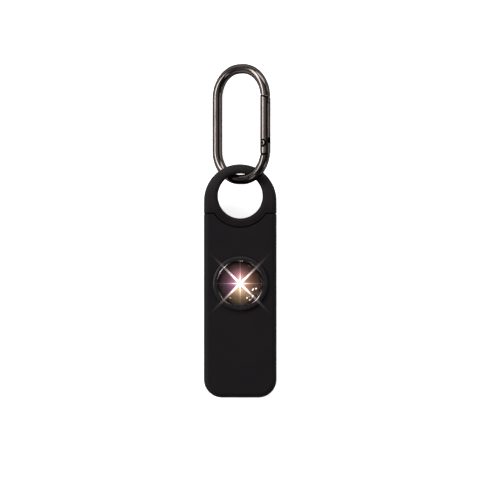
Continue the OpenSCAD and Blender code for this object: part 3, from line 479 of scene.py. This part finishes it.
def case_half(name, low_z, high_z, face_z):
    """One moulding of the case: rounded on its face side, hollow, cut away round the ring's band."""
    piece = case_outline(name, (-HALF_W, TAIL_Y, low_z), (HALF_W, CASE_TOP_Y, high_z), CORNER_R)
    pick(piece, "EDGE", lambda a, b: abs(a.z - face_z) < 0.01 and abs(b.z - face_z) < 0.01
         and min(a.y, b.y) < CASE_TOP_Y - 0.01)
    bpy.ops.mesh.bevel(offset=EDGE_R, segments=9, affect="EDGES")
    cut(piece, bar("saddle", (0, HOLE_Y, -3), (0, HOLE_Y, 20), BAND_R + PARTING, 192))
    front = face_z > SEAM_Z
    room = case_outline("room", (-HALF_W + WALL, TAIL_Y + WALL, SEAM_Z - 3 if front else WALL),
                        (HALF_W - WALL, CASE_TOP_Y - WALL, BODY_T - WALL if front else SEAM_Z + 3),
                        CORNER_R - WALL)
    cut(room, bar("arch", (0, HOLE_Y, -3), (0, HOLE_Y, 20), BAND_R + PARTING + WALL, 96))
    cut(piece, room)
    for x, y in SCREW_SPOTS:
        low, high = (SEAM_Z, BODY_T - WALL / 2) if front else (WALL / 2, SEAM_Z)
        cut(piece, bar("boss", (x, y, low), (x, y, high), SCREW_POST_R if front else SCREW_BOSS_R, 40), "UNION")
    cut(piece, bar("pin_way", (0, 18.0, SEAM_Z), (0, 24.0, SEAM_Z), 1.9, 48))
    return piece


def parting_lip(piece, low_z, high_z):
    """A low lip on the case that stands in the parting gap, so that no light shows through."""
    band = bar("lip", (0, HOLE_Y, low_z), (0, HOLE_Y, high_z), BAND_R + PARTING + 0.1, 160)
    cut(band, bar("lip_inside", (0, HOLE_Y, low_z - 1), (0, HOLE_Y, high_z + 1), BAND_R + 0.002, 160))
    cut(band, block("lip_top", (-20, SHOULDER_Y - LIP_CLEAR, low_z - 1), (20, 60, high_z + 1)))
    lips = [piece, band]
    for side in (-1, 1):
        ends = sorted((side * 10.05, side * (HALF_W - 0.25)))
        lips.append(block("shoulder_lip", (ends[0], CASE_TOP_Y - 0.2, low_z),
                          (ends[1], SHOULDER_Y - LIP_CLEAR, high_z)))
    join(piece.name, lips)


def on_parting(a, b):
    """Edges along the line where the top pulls away, on the outside."""
    def near(p):
        round_band = abs(math.hypot(p.x, p.y - HOLE_Y) - BAND_R - PARTING) < 0.02
        return (round_band or p.y > CASE_TOP_Y - 0.01) and not abs(p.z - SEAM_Z) < 0.01
    return near(a) and near(b) and (a - b).length > 1e-4


front = case_half("case_front", SEAM_Z, BODY_T, BODY_T)
cut(front, bar("lens_hole", (0, 0, 13), (0, 0, 18), LENS_HOLE_R, 128))
break_edges(front, 0.24, lambda a, b: on_parting(a, b) and (min(a.z, b.z) > BODY_T - 2.1
            or abs(abs(a.x) - HALF_W) < 0.01 and abs(abs(b.x) - HALF_W) < 0.01))
break_edges(front, 0.1, lambda a, b: abs(a.z - SEAM_Z) < 0.01 and abs(b.z - SEAM_Z) < 0.01
            and all(abs(p.x) > HALF_W - 0.3 or p.y < TAIL_Y + CORNER_R for p in (a, b))
            and all(math.hypot(max(abs(p.x) - 7, 0), min(p.y - TAIL_Y - 7, 0)) > 6.5 for p in (a, b)), 2)
smooth(front)
parting_lip(front, SEAM_Z, FRONT_LIP_Z)
settle(front, soft_touch, "alarm_body", "soft_touch_black", "front_shell")

rear = case_half("case_rear", 0.0, SEAM_Z, 0.0)
openings = []
for x, y in SCREW_SPOTS:
    openings.append(bar("head_well", (x, y, -1), (x, y, 2.0), HEAD_WELL_R, 48))
for i in range(9):
    turn = math.radians(45 * i)
    out = 0 if i == 8 else PORT_RING
    x, y = out * math.cos(turn), SOUND_Y + out * math.sin(turn)
    openings.append(bar("port", (x, y, -1), (x, y, 2.5), PORT_R, 32))
cut(rear, join("wells_and_ports", openings))
break_edges(rear, 0.24, lambda a, b: on_parting(a, b) and (a.z < 2.1 and b.z < 2.1
            or abs(abs(a.x) - HALF_W) < 0.01 and abs(abs(b.x) - HALF_W) < 0.01))
break_edges(rear, 0.1, lambda a, b: abs(a.z - SEAM_Z) < 0.01 and abs(b.z - SEAM_Z) < 0.01
            and all(math.hypot(max(abs(p.x) - 7, 0), min(p.y - TAIL_Y - 7, 0)) > 6.5 for p in (a, b)), 2)
break_edges(rear, 0.14, lambda a, b: abs(a.z) < 0.01 and abs(b.z) < 0.01 and a.y < 20 and b.y < 20, 2)
smooth(rear)
parting_lip(rear, REAR_LIP_Z, SEAM_Z)
settle(rear, soft_touch, "alarm_body", "soft_touch_black", "rear_shell")

# Cross-recessed screws, modelled once and copied
screw = turned("case_screw", [(0, 0.6)] + bow(1.5, 0.9, 0.3, -90, 0, 4) + [(1.8, 1.9), (1.7, 2.0), (0.8, 2.0),
               (0.8, 11.6), (0.5, 12.0), (0, 12.0)], 48)
for turn in (0, 90):
    slot = block("recess", (-1.1, -0.2, 0), (1.1, 0.2, 1.25))
    slot.rotation_euler.z = math.radians(turn)
    work_on(slot)
    bpy.ops.object.transform_apply(location=True, rotation=True, scale=True)
    cut(screw, slot)
screws = []
for i, (x, y) in enumerate(SCREW_SPOTS):
    copy = screw.copy()
    copy.data = screw.data.copy()
    bpy.context.scene.collection.objects.link(copy)
    copy.matrix_world = Matrix.Translation((x, y, 0)) @ Matrix.Rotation(math.radians(20 + 33 * i), 4, "Z")
    work_on(copy)
    bpy.ops.object.transform_apply(location=True, rotation=True, scale=True)
    screws.append(copy)
bpy.data.objects.remove(screw)
screws = join("case_screw_set", screws)
smooth(screws)
settle(screws, zinc_plate, "alarm_body", "bright_steel", "case_screws")


# ---------------------------------------------------------------------------
# Lens, bezel, reflector and light
# ---------------------------------------------------------------------------
def crown(rim, top, sag):
    """Profile of a dome, flatter towards its rim than a sphere, so that no lamp is mirrored there."""
    return [(rim * i / 14, top - sag * (i / 14) ** 1.75) for i in range(15)]


dome = crown(LENS_RIM_R, 18.8, 2.08) + bow(8.38, 16.346, 0.42, 60, 0, 5)
dome += [(LENS_R, FRONT_IN_Z), (LENS_FLANGE_R, FRONT_IN_Z), (LENS_FLANGE_R, FLANGE_Z), (LENS_HOLLOW_R, FLANGE_Z)]
dome += crown(LENS_HOLLOW_R, 17.6, 2.09)[::-1]
lens = turned("strobe_lens", dome, 128)
smooth(lens, 40, False)
settle(lens, clear_lens, "alarm_body", "clear_lens", "lens_dome")

bezel = turned("lens_bezel_ring", [(8.85, FRONT_IN_Z), (9.25, FRONT_IN_Z), (9.25, BODY_T), (10.4, BODY_T)]
               + bow(9.9, 16.4, 0.6, -20, 90, 8) + bow(9.05, 16.82, 0.18, 90, 180, 4)
               + [(8.85, FRONT_IN_Z)], 128)
smooth(bezel, 40, False)
settle(bezel, bezel_satin, "alarm_body", "bezel_black", "lens_bezel")

cup = turned("reflector_dish", [(2.15, 11.75), (3.2, 11.85), (4.4, 12.02), (5.6, 12.28), (6.8, 12.65),
             (7.9, 13.1), (8.8, FLANGE_Z), (10.0, FLANGE_Z), (4.8, 10.5), (3.9, 10.5), (3.9, 11.65),
             (2.15, 11.65), (2.15, 11.75)], 28)
# Reflector with painted glow, painted light and painted shade
settle(cup, reflector_lacquer_painted_light, "alarm_body", "bright_reflector", "reflector_cup")

# Thin trim ring at the lens's edge, its highlights painted in arcs
trim_ring = turned("bright_trim_ring", bow(LENS_R, 16.92, 0.12, 0, 360, 12), 128)
smooth(trim_ring, 60, False)
settle(trim_ring, lens_edge_painted_highlights, "alarm_body", "bright_reflector", "lens_bezel")

# Small bright facets in the dish that turn the light up to the eye
facets = []
for x, y, wide in ((4.8, -2.3, 0.5), (6.0, -1.9, 0.35), (3.0, -5.2, 0.6), (4.9, -4.7, 0.5), (3.9, -6.1, 0.5),
                   (-3.6, -5.6, 0.4)):
    facet = block("facet", (-0.3, -wide, -0.25), (0.3, wide, 0.25))
    pick(facet, "EDGE", lambda a, b: a.z > 0.2 and b.z > 0.2)
    bpy.ops.mesh.bevel(offset=0.12, segments=2, affect="EDGES")
    work_on(facet)
    toward = math.atan2(y, x)
    seat = Vector((x, y, 12.5 + 0.1 * (math.hypot(x, y) - 5)))
    facet.data.transform(Matrix.Translation(seat) @ Matrix.Rotation(toward, 4, "Z")
                         @ Matrix.Rotation(math.radians(-38), 4, "Y"))
    facets.append(facet)
facets = join("reflector_facets", facets)
smooth(facets, 40, False)
settle(facets, bright_trim, "alarm_body", "bright_reflector", "reflector_cup")

package = block("diode_package", (-2.5, -2.5, 10.5), (2.5, 2.5, DIODE_Z))
pick(package, "EDGE", lambda a, b: min(a.z, b.z) > DIODE_Z - 0.1 or abs(a.z - b.z) > 0.1)
bpy.ops.mesh.bevel(offset=0.35, segments=3, affect="EDGES")
smooth(package, 40, False)
settle(package, diode_ceramic, "alarm_body", "led_white", "strobe_led")
light = turned("diode_dome", [(0, DIODE_Z), (DIODE_R, DIODE_Z)] + [(DIODE_R * math.cos(math.radians(a)),
               DIODE_Z + DIODE_H * math.sin(math.radians(a))) for a in range(9, 91, 9)], 64)
smooth(light, 40, False)
settle(light, led_phosphor, "alarm_body", "led_white", "strobe_led")


# ---------------------------------------------------------------------------
# Ring top: two halves that thin from the case's depth to the tip, seamed in the middle
# ---------------------------------------------------------------------------
def depth(y, full):
    """Half the depth at y: full at the shoulder, thinning to the tip."""
    u = min(max((y - SHOULDER_Y) / SWEEP_LEN, 0), 1)
    return full - (full - TIP_T / 2) * (1 - math.cos(math.pi * u)) / 2


def fall(d, r, h):
    """How far the skin drops at d from an edge that is rounded by r."""
    return 0 if d >= r else min(r, h - 0.15) * (1 - math.sqrt(1 - (1 - max(d, 0) / r) ** 2))


def inside(x, y):
    """How far a point lies within the rounded outline."""
    return HALF_W - (math.hypot(x, y - ARC_Y) if y > ARC_Y else abs(x))


def reach(a):
    """Outline of the top, from the finger hole's centre, and whether it is the parting edge there."""
    o = HOLE_Y - ARC_Y
    arc = -o * math.sin(a) + math.sqrt(HALF_W ** 2 - (o * math.cos(a)) ** 2)
    upper = arc if HOLE_Y + arc * math.sin(a) > ARC_Y or abs(math.cos(a)) < 0.01 else HALF_W / abs(math.cos(a))
    low = (HOLE_Y - SHOULDER_Y) / -math.sin(a) if math.sin(a) < -0.01 else 999
    return max(BAND_R, min(upper, low)), low < upper


def ring_angles():
    band = -math.asin((HOLE_Y - SHOULDER_Y) / BAND_R)
    corner = -math.atan((HOLE_Y - SHOULDER_Y) / HALF_W)
    side = math.atan((ARC_Y - HOLE_Y) / HALF_W)
    stops = [(-math.pi / 2, 28), (band, 8), (corner, 10), (side, 56), (math.pi / 2, 0)]
    right = [a + (b - a) * i / n for (a, n), (b, _) in zip(stops, stops[1:]) for i in range(n)]
    return right + [math.pi / 2] + [math.pi - a for a in reversed(right)]


def ring_half(name, side, full):
    """A grid laid round the finger hole: its columns run over the skin from the hole to the rim, down the wall
    and back along the seam."""
    angles = ring_angles()
    ease = [1 - math.cos(math.radians(90 * i / 8)) for i in range(9)]
    columns = 2 + 9 + 8 + 9 + 3
    piece = begin(name, bpy.ops.mesh.primitive_grid_add, x_subdivisions=len(angles) - 1,
                  y_subdivisions=columns - 1, size=2)
    rows, seam_break = len(angles) - 1, 0.12
    for v in piece.data.vertices:
        i = round((v.co.x + 1) / 2 * rows)
        j = round((v.co.y + 1) / 2 * (columns - 1))
        a = angles[i]
        q, low = reach(a)
        edge = min(0.6, q - HOLE_R - RIM_R) if low else min(EDGE_R, q - HOLE_R - RIM_R)
        runs = [RIM_R * e for e in ease]
        runs += [RIM_R + (q - HOLE_R - edge - RIM_R) * k / 9 for k in range(1, 9)]
        runs += [q - HOLE_R - edge * e for e in reversed(ease)]
        if j in (0, columns - 1):
            r, h = HOLE_R + seam_break, 0
        elif j == 1:
            r, h = HOLE_R, seam_break
        elif j == columns - 3:
            r, h = q, seam_break
        elif j == columns - 2:
            r, h = q - seam_break, 0
        else:
            r = HOLE_R + runs[j - 2]
            x, y = r * math.cos(a), HOLE_Y + r * math.sin(a)
            h = depth(y, full)
            on_band = q <= BAND_R + 1e-6
            drop = [fall(r - HOLE_R, RIM_R, h), fall(inside(x, y), EDGE_R, h)]
            if low:
                drop.append(fall((q - r) * (1 if on_band else abs(math.sin(a))), 0.28, h))
            h -= max(drop)
        v.co = (r * math.cos(a), HOLE_Y + r * math.sin(a), SEAM_Z + side * h)
    tidy_faces(piece)
    smooth(piece, 40, False)
    return piece


ring_front = ring_half("ring_front", 1, BODY_T - SEAM_Z)
settle(ring_front, ring_paint, "pull_top", "soft_touch_black", "top_front_half")
ring_rear = ring_half("ring_rear", -1, SEAM_Z)
settle(ring_rear, ring_paint, "pull_top", "soft_touch_black", "top_rear_half")

pin = turned("pull_pin_turned", [(0, 10.4)] + bow(1.25, 10.9, 0.5, -90, 0, 5) + [(1.75, 13.8), (1.6, 13.95),
             (1.6, 14.45), (1.75, 14.6), (1.75, 22.875), (2.6, 22.875), (2.6, 24.075), (0, 24.075)], 64)
pin.data.transform(Matrix.Translation((0, 0, SEAM_Z)) @ Matrix.Rotation(math.radians(-90), 4, "X"))
smooth(pin, 35, False)
settle(pin, pin_chrome, "pull_top", "bright_steel", "pull_pin")


# ---------------------------------------------------------------------------
# Carabiner, modelled in its own plane and then set in the ring
# ---------------------------------------------------------------------------
def trim(piece, test, point, normal, keep_below):
    """Cuts off the end of the wire or tube at a plane and closes it."""
    pick(piece, "FACE", test)
    bpy.ops.mesh.bisect(plane_co=point, plane_no=normal, use_fill=True, clear_inner=not keep_below,
                        clear_outer=keep_below, threshold=0.0001)
    work_on(piece)


def bent_wire():
    """A ring of points drawn round the loop: bends by spin, straights by extrude."""
    piece = begin("carabiner_wire", bpy.ops.mesh.primitive_circle_add, vertices=48, radius=WIRE_R,
                  rotation=(math.radians(90), 0, 0), location=(HOOK_HALF, HOOK_Y0 + HOOK_BEND, 0))
    bpy.context.tool_settings.mesh_select_mode = (True, False, False)
    bpy.ops.object.mode_set(mode="EDIT")
    bpy.ops.mesh.select_all(action="SELECT")
    x, low, high = HOOK_HALF - HOOK_BEND, HOOK_Y0 + HOOK_BEND, HOOK_Y1 - HOOK_BEND
    for centre, straight in (((x, low, 0), (-2 * x, 0, 0)), ((-x, low, 0), (0, high - low, 0)),
                             ((-x, high, 0), (2 * x, 0, 0)), ((x, high, 0), (0, -2.0, 0))):
        bpy.ops.mesh.spin(steps=28, angle=math.pi / 2, center=centre, axis=(0, 0, 1))
        bpy.ops.mesh.extrude_region_move(TRANSFORM_OT_translate={"value": straight})
    tidy_faces(piece)
    return piece


def paint_gap_shade(piece, test):
    """Paints shade on the faces in the gaps with a second material; the test takes a face's centre and normal in
    the carabiner's own plane.
    """
    piece.data.materials.append(painted_gap_shade)
    back = HOOK_PLACE.inverted()
    for face in piece.data.polygons:
        if test(back @ (face.center * 1000), back.to_3x3() @ face.normal):
            face.material_index = 1


wire = bent_wire()
trim(wire, lambda c, n: c.x > 8 and 46 < c.y < 52, (HOOK_HALF, GATE_Y0 - LOW_SLIT, 0), (0, 1, 0), True)
# A groove by the lower slit, which takes painted shade below so that it reads as a dark slit
groove_x = HOOK_HALF - 0.1
groove = bar("groove", (groove_x, GATE_Y0 - 0.7, 0), (groove_x, GATE_Y0 + 1, 0), 2.6, 48)
cut(groove, bar("groove_core", (groove_x, 48, 0), (groove_x, 52, 0), 1.6, 48))
cut(wire, groove)
trim(wire, lambda c, n: c.x > 8 and 69 < c.y < 77, (HOOK_HALF, GATE_Y1 + TOP_SLIT, 0), SLANT, False)
half, eye_x = TONGUE_T / 2, HOOK_HALF - 0.45
tongue = block("tongue", (HOOK_HALF - 1.35, TONGUE_Y0, -half), (HOOK_HALF + TONGUE_OUT, RIVET_Y, half))
cut(tongue, bar("eye", (eye_x, RIVET_Y, -half), (eye_x, RIVET_Y, half), 1.35, 48), "UNION")
cut(tongue, bar("eye_end", (HOOK_HALF, RIVET_Y, -half), (HOOK_HALF, RIVET_Y, half), 1.3, 48), "UNION")
cut(tongue, block("tongue_root", (HOOK_HALF - 1.85, TONGUE_Y0, -half),
                  (HOOK_HALF + TONGUE_OUT, GATE_Y0 + 0.6, half)), "UNION")
cut(wire, tongue, "UNION")
cut(wire, block("nose", (HOOK_HALF - 0.2, GATE_Y1 - 2.3, -half),
                (HOOK_HALF + TONGUE_OUT, GATE_Y1 + 2.2, half)), "UNION")
cut(wire, bar("rivet_hole", (HOOK_HALF, RIVET_Y, -3), (HOOK_HALF, RIVET_Y, 3), 0.8, 32))
break_edges(wire, 0.12, lambda a, b: True, 2, 50)
wire.data.transform(HOOK_PLACE)
smooth(wire, 40)
settle(wire, black_nickel, "carabiner", "black_nickel", "carabiner_frame")
# Painted shade on the cut ends and in the slits at both ends of the gate
paint_gap_shade(wire, lambda c, n: c.x > 8 and (49.35 < c.y < 57 or GATE_Y1 - 3 < c.y < GATE_Y1 + 1.2)
          and (math.hypot(c.x - HOOK_HALF, c.z) < WIRE_R - 0.15 or abs(n.y) > 0.7))

gate = bar("gate_sleeve", (HOOK_HALF, GATE_Y0, 0), (HOOK_HALF, GATE_Y1 + 1.5, 0), GATE_R, 64)
trim(gate, lambda c, n: True, (HOOK_HALF, GATE_Y1, 0), SLANT, True)
cut(gate, block("end_step", (HOOK_HALF - 3, GATE_Y0 - 1, -3), (HOOK_HALF + 3, GATE_Y0 + 0.15, 3)))
collar = bar("end_collar", (HOOK_HALF, GATE_Y0, 0), (HOOK_HALF, GATE_Y1 + 1.5, 0), GATE_R - 0.3, 64)
trim(collar, lambda c, n: True, (HOOK_HALF, GATE_Y1 + 0.52, 0), SLANT, True)
cut(gate, collar, "UNION")
half = SLOT_T / 2
cut(gate, block("fork", (HOOK_HALF - 4, GATE_Y0 - 2, -half), (HOOK_HALF + 4, FORK_Y1, half)))
cut(gate, block("nose_slot", (HOOK_HALF - 0.45, GATE_Y1 - 2.6, -half), (HOOK_HALF + 4, GATE_Y1 + 3, half)))
cut(gate, bar("bore", (HOOK_HALF, BORE_Y0, 0), (HOOK_HALF, SPRING_Y1, 0), BORE_R, 48))
for side in (-1, 1):
    cut(gate, bar("spot_face", (HOOK_HALF, RIVET_Y, side * SPOT_Z), (HOOK_HALF, RIVET_Y, side * 3), SPOT_R, 48))
break_edges(gate, 0.1, lambda a, b: True, 2, 50)
gate.data.transform(HOOK_PLACE)
smooth(gate, 40)
settle(gate, black_nickel, "gate", "black_nickel", "gate_tube")
# Painted shade on the gate's end faces and inside its bore and slots
paint_gap_shade(gate, lambda c, n: abs(n.y) > 0.7 or math.hypot(c.x - HOOK_HALF, c.z) < GATE_R - 0.1)

head = [(0, 1.72), (0.34, 1.74), (0.48, 1.96), (0.62, 2.1), (0.84, 2.1), (1.0, 2.02), (1.1, 1.86),
        (1.12, SPOT_Z)]
rivet = turned("gate_rivet_turned", head + [(SHANK_R, SPOT_Z), (SHANK_R, -SPOT_Z)]
               + [(r, -z) for r, z in reversed(head)], 48)
rivet.data.transform(HOOK_PLACE @ Matrix.Translation((HOOK_HALF, RIVET_Y, 0)))
smooth(rivet, 40, False)
settle(rivet, black_nickel, "gate", "black_nickel", "gate_rivet")
# Painted shade on the rivet's rim and in the middle of its dimple
paint_gap_shade(rivet, lambda c, n: abs(n.z) < 0.3 or math.hypot(c.x - HOOK_HALF, c.y - RIVET_Y) < 0.42)

# Coil spring that shuts the gate, one ring of wire screwed along its axis
coil = begin("gate_coil_spring", bpy.ops.mesh.primitive_circle_add, vertices=10, radius=SPRING_WIRE / 2,
             rotation=(math.radians(90), 0, 0), location=(SPRING_R - SPRING_WIRE / 2, 0, SPRING_WIRE / 2))
screw_on = coil.modifiers.new("wind", "SCREW")
screw_on.axis, screw_on.angle, screw_on.iterations = "Z", 2 * math.pi, SPRING_TURNS
screw_on.screw_offset = (SPRING_Y1 - SPRING_Y0 - SPRING_WIRE) / SPRING_TURNS
screw_on.steps = screw_on.render_steps = 24
apply_all(coil)
bpy.ops.object.mode_set(mode="EDIT")
bpy.ops.mesh.select_all(action="SELECT")
bpy.ops.mesh.fill_holes(sides=0)
tidy_faces(coil)
coil.data.transform(HOOK_PLACE @ Matrix.Translation((HOOK_HALF, SPRING_Y0, 0))
                    @ Matrix.Rotation(math.radians(-90), 4, "X"))
smooth(coil, 50, False)
settle(coil, spring_steel, "gate", "bright_steel", "gate_spring")
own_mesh(coil)

# ---------------------------------------------------------------------------
# Inside the case: wound, soft and moulded pieces
# ---------------------------------------------------------------------------
winding = turned("coil_turns", [(1.2, 7.4), (2.6, 7.4)]
                 + [spot for i in range(8) for spot in bow(2.6, 7.5 + 0.2 * i, 0.1, -80, 80, 5)]
                 + [(2.6, 9.0), (1.2, 9.0), (1.2, 7.4)], 48)
winding.data.transform(Matrix.Translation((5.8, -20.0, 0)))
smooth(winding, 50, False)
settle(winding, enamelled_copper, "alarm_body", "copper_wire", "coil_winding")

foam = turned("sounder_foam_ring", bow(9.7, 1.9, 0.3, -90, 0, 4) + [(10.0, 2.3)]
              + bow(9.7, 2.7, 0.3, 0, 90, 4) + bow(8.5, 2.7, 0.3, 90, 180, 4) + [(8.16, 2.3)]
              + bow(8.5, 1.9, 0.3, 180, 270, 4) + [(9.7, 1.6)], 96)
foam.data.transform(Matrix.Translation((0, SOUND_Y, 0)))
smooth(foam, 50, False)
settle(foam, foam_cells, "alarm_body", "foam_black", "sounder_seal")

inner_finishes = {
    solder_resist: ("circuit_board",),
    zinc_plate: ("board_screws",),
    moulding_compound: ("control_chip", "chip_resistors", "driver_transistor", "switch_case"),
    drawn_aluminium: ("filter_capacitor",),
    sintered_ferrite: ("coil_core",),
    cell_steel: ("lower_cell", "upper_cell"),
    natural_abs: ("battery_cradle", "pin_socket"),
    spring_brass: ("positive_clip", "negative_contact", "piezo_disc"),
    silvered_ceramic: ("piezo_ceramic",),
    wire_cloth: ("sound_mesh",),
    lead_insulation: ("piezo_wires",),
    nitrile: ("pin_seal",),
    red_acetal: ("switch_plunger",),
    spring_steel: ("gate_plunger",),
}
for material, nodes in inner_finishes.items():
    for node in nodes:
        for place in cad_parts[node].material_slots:
            place.material = material

# ---------------------------------------------------------------------------
# Floor, light and camera
# ---------------------------------------------------------------------------
work_on()
bpy.ops.mesh.primitive_circle_add(vertices=96, radius=3.0, fill_type="NGON", location=(0, 0.02, -0.0001))
floor = bpy.context.object
floor.name = "pale_floor"
table = finish("pale_light_table", "#f4f5f6", "#f0f1f2", 400.0, (0.7, 0.8), 2.0, 0.001,
               **{"Specular_IOR_Level": 0.1, "Emission_Color": linear("#ffffff")})
# The table's own light, 0.8 to the camera and none on the part, so that the wire's edges stay dark
under = table.node_tree
ray = add(under, "ShaderNodeLightPath").outputs["Is Camera Ray"]
lit = add(under, "ShaderNodeMath", {0: ray, 1: 0.8}, operation="MULTIPLY")
under.links.new(lit.outputs["Value"], under.nodes["Principled BSDF"].inputs["Emission Strength"])
floor.data.materials.append(table)

scene = bpy.context.scene
world = bpy.data.worlds.new("studio")
scene.world = world
world.use_nodes = True
sky = world.node_tree
sky.nodes.clear()
way = add(sky, "ShaderNodeTexCoord").outputs["Generated"]
up = add(sky, "ShaderNodeSeparateXYZ", {"Vector": way}).outputs["Z"]
tone = add(sky, "ShaderNodeValToRGB", {"Fac": up}, ((0.0, "#7c7e80"), (0.2, "#545556"), (0.5, "#323132"),
                                                     (1.0, "#282829")))
facing = add(sky, "ShaderNodeVectorMath", {0: way, 1: (-0.30, 0.12, 0.946)}, operation="DOT_PRODUCT")
ahead = add(sky, "ShaderNodeMath", {0: facing.outputs["Value"], 1: 0.0}, operation="MAXIMUM")
spread = add(sky, "ShaderNodeMath", {0: ahead.outputs["Value"], 1: 10.0}, operation="POWER")
glow = add(sky, "ShaderNodeMix", {0: spread.outputs["Value"], 6: tone.outputs["Color"], 7: linear("#f0ebe7")},
           data_type="RGBA")
shade = add(sky, "ShaderNodeBackground", {"Color": glow.outputs[2], "Strength": 1.0})
add(sky, "ShaderNodeOutputWorld", {"Surface": shade.outputs["Background"]})


def softbox(name, place, aim, width, height, power, tint):
    lamp = bpy.data.lights.new(name, "AREA")
    lamp.shape, lamp.size, lamp.size_y, lamp.energy = "RECTANGLE", width, height, power
    lamp.color = linear(tint)[:3]
    stand = bpy.data.objects.new(name, lamp)
    scene.collection.objects.link(stand)
    stand.location = place
    stand.rotation_euler = (Vector(aim) - Vector(place)).to_track_quat("-Z", "Y").to_euler()


softbox("left_softbox", (-0.70, 0.30, 0.46), (0, 0.03, 0), 0.9, 0.28, 9, "#fffaf7")
softbox("right_softbox", (0.85, 0.20, 0.42), (0, 0.03, 0), 0.9, 0.30, 2.0, "#fff4ee")
softbox("top_softbox", (0.15, 0.95, 0.55), (0, 0.03, 0), 0.9, 0.40, 6, "#ffffff")
softbox("lower_left_card", (-0.55, -0.62, 0.40), (0, 0.0, 0), 0.25, 0.2, 0.5, "#ffffff")
softbox("lower_right_card", (0.62, -0.58, 0.40), (0, 0.0, 0), 0.25, 0.2, 0.5, "#ffffff")

camera = bpy.data.objects.new("camera", bpy.data.cameras.new("camera"))
scene.collection.objects.link(camera)
camera.location = (-0.00008, 0.0168, 1.2095)
camera.data.sensor_width = 36.0
camera.data.lens = 36.0 * 1.2 / 0.1856
camera.data.clip_start, camera.data.clip_end = 0.01, 20.0
scene.camera = camera
scene.view_settings.view_transform = "Standard"

# Glare of the bare light in the lens, as a camera gives it: a diagonal star and a fainter upright one
scene.use_nodes = True
glass = scene.node_tree
glass.nodes.clear()
image = add(glass, "CompositorNodeRLayers").outputs["Image"]
halo = add(glass, "CompositorNodeGlare", {"Image": image, "Threshold": 2.0, "Strength": 0.15, "Size": 0.35},
           glare_type="FOG_GLOW", quality="HIGH")
star = add(glass, "CompositorNodeGlare", {"Image": halo.outputs["Image"], "Threshold": 4.0, "Strength": 80.0,
           "Streaks": 4, "Streaks Angle": math.radians(45), "Fade": 0.82, "Iterations": 4,
           "Color Modulation": 0.05}, glare_type="STREAKS", quality="HIGH")
cross = add(glass, "CompositorNodeGlare", {"Image": star.outputs["Image"], "Threshold": 7.0, "Strength": 1.1,
            "Streaks": 4, "Streaks Angle": 0.0, "Fade": 0.76, "Iterations": 3, "Color Modulation": 0.1},
            glare_type="STREAKS", quality="HIGH")
add(glass, "CompositorNodeComposite", {"Image": cross.outputs["Image"]})
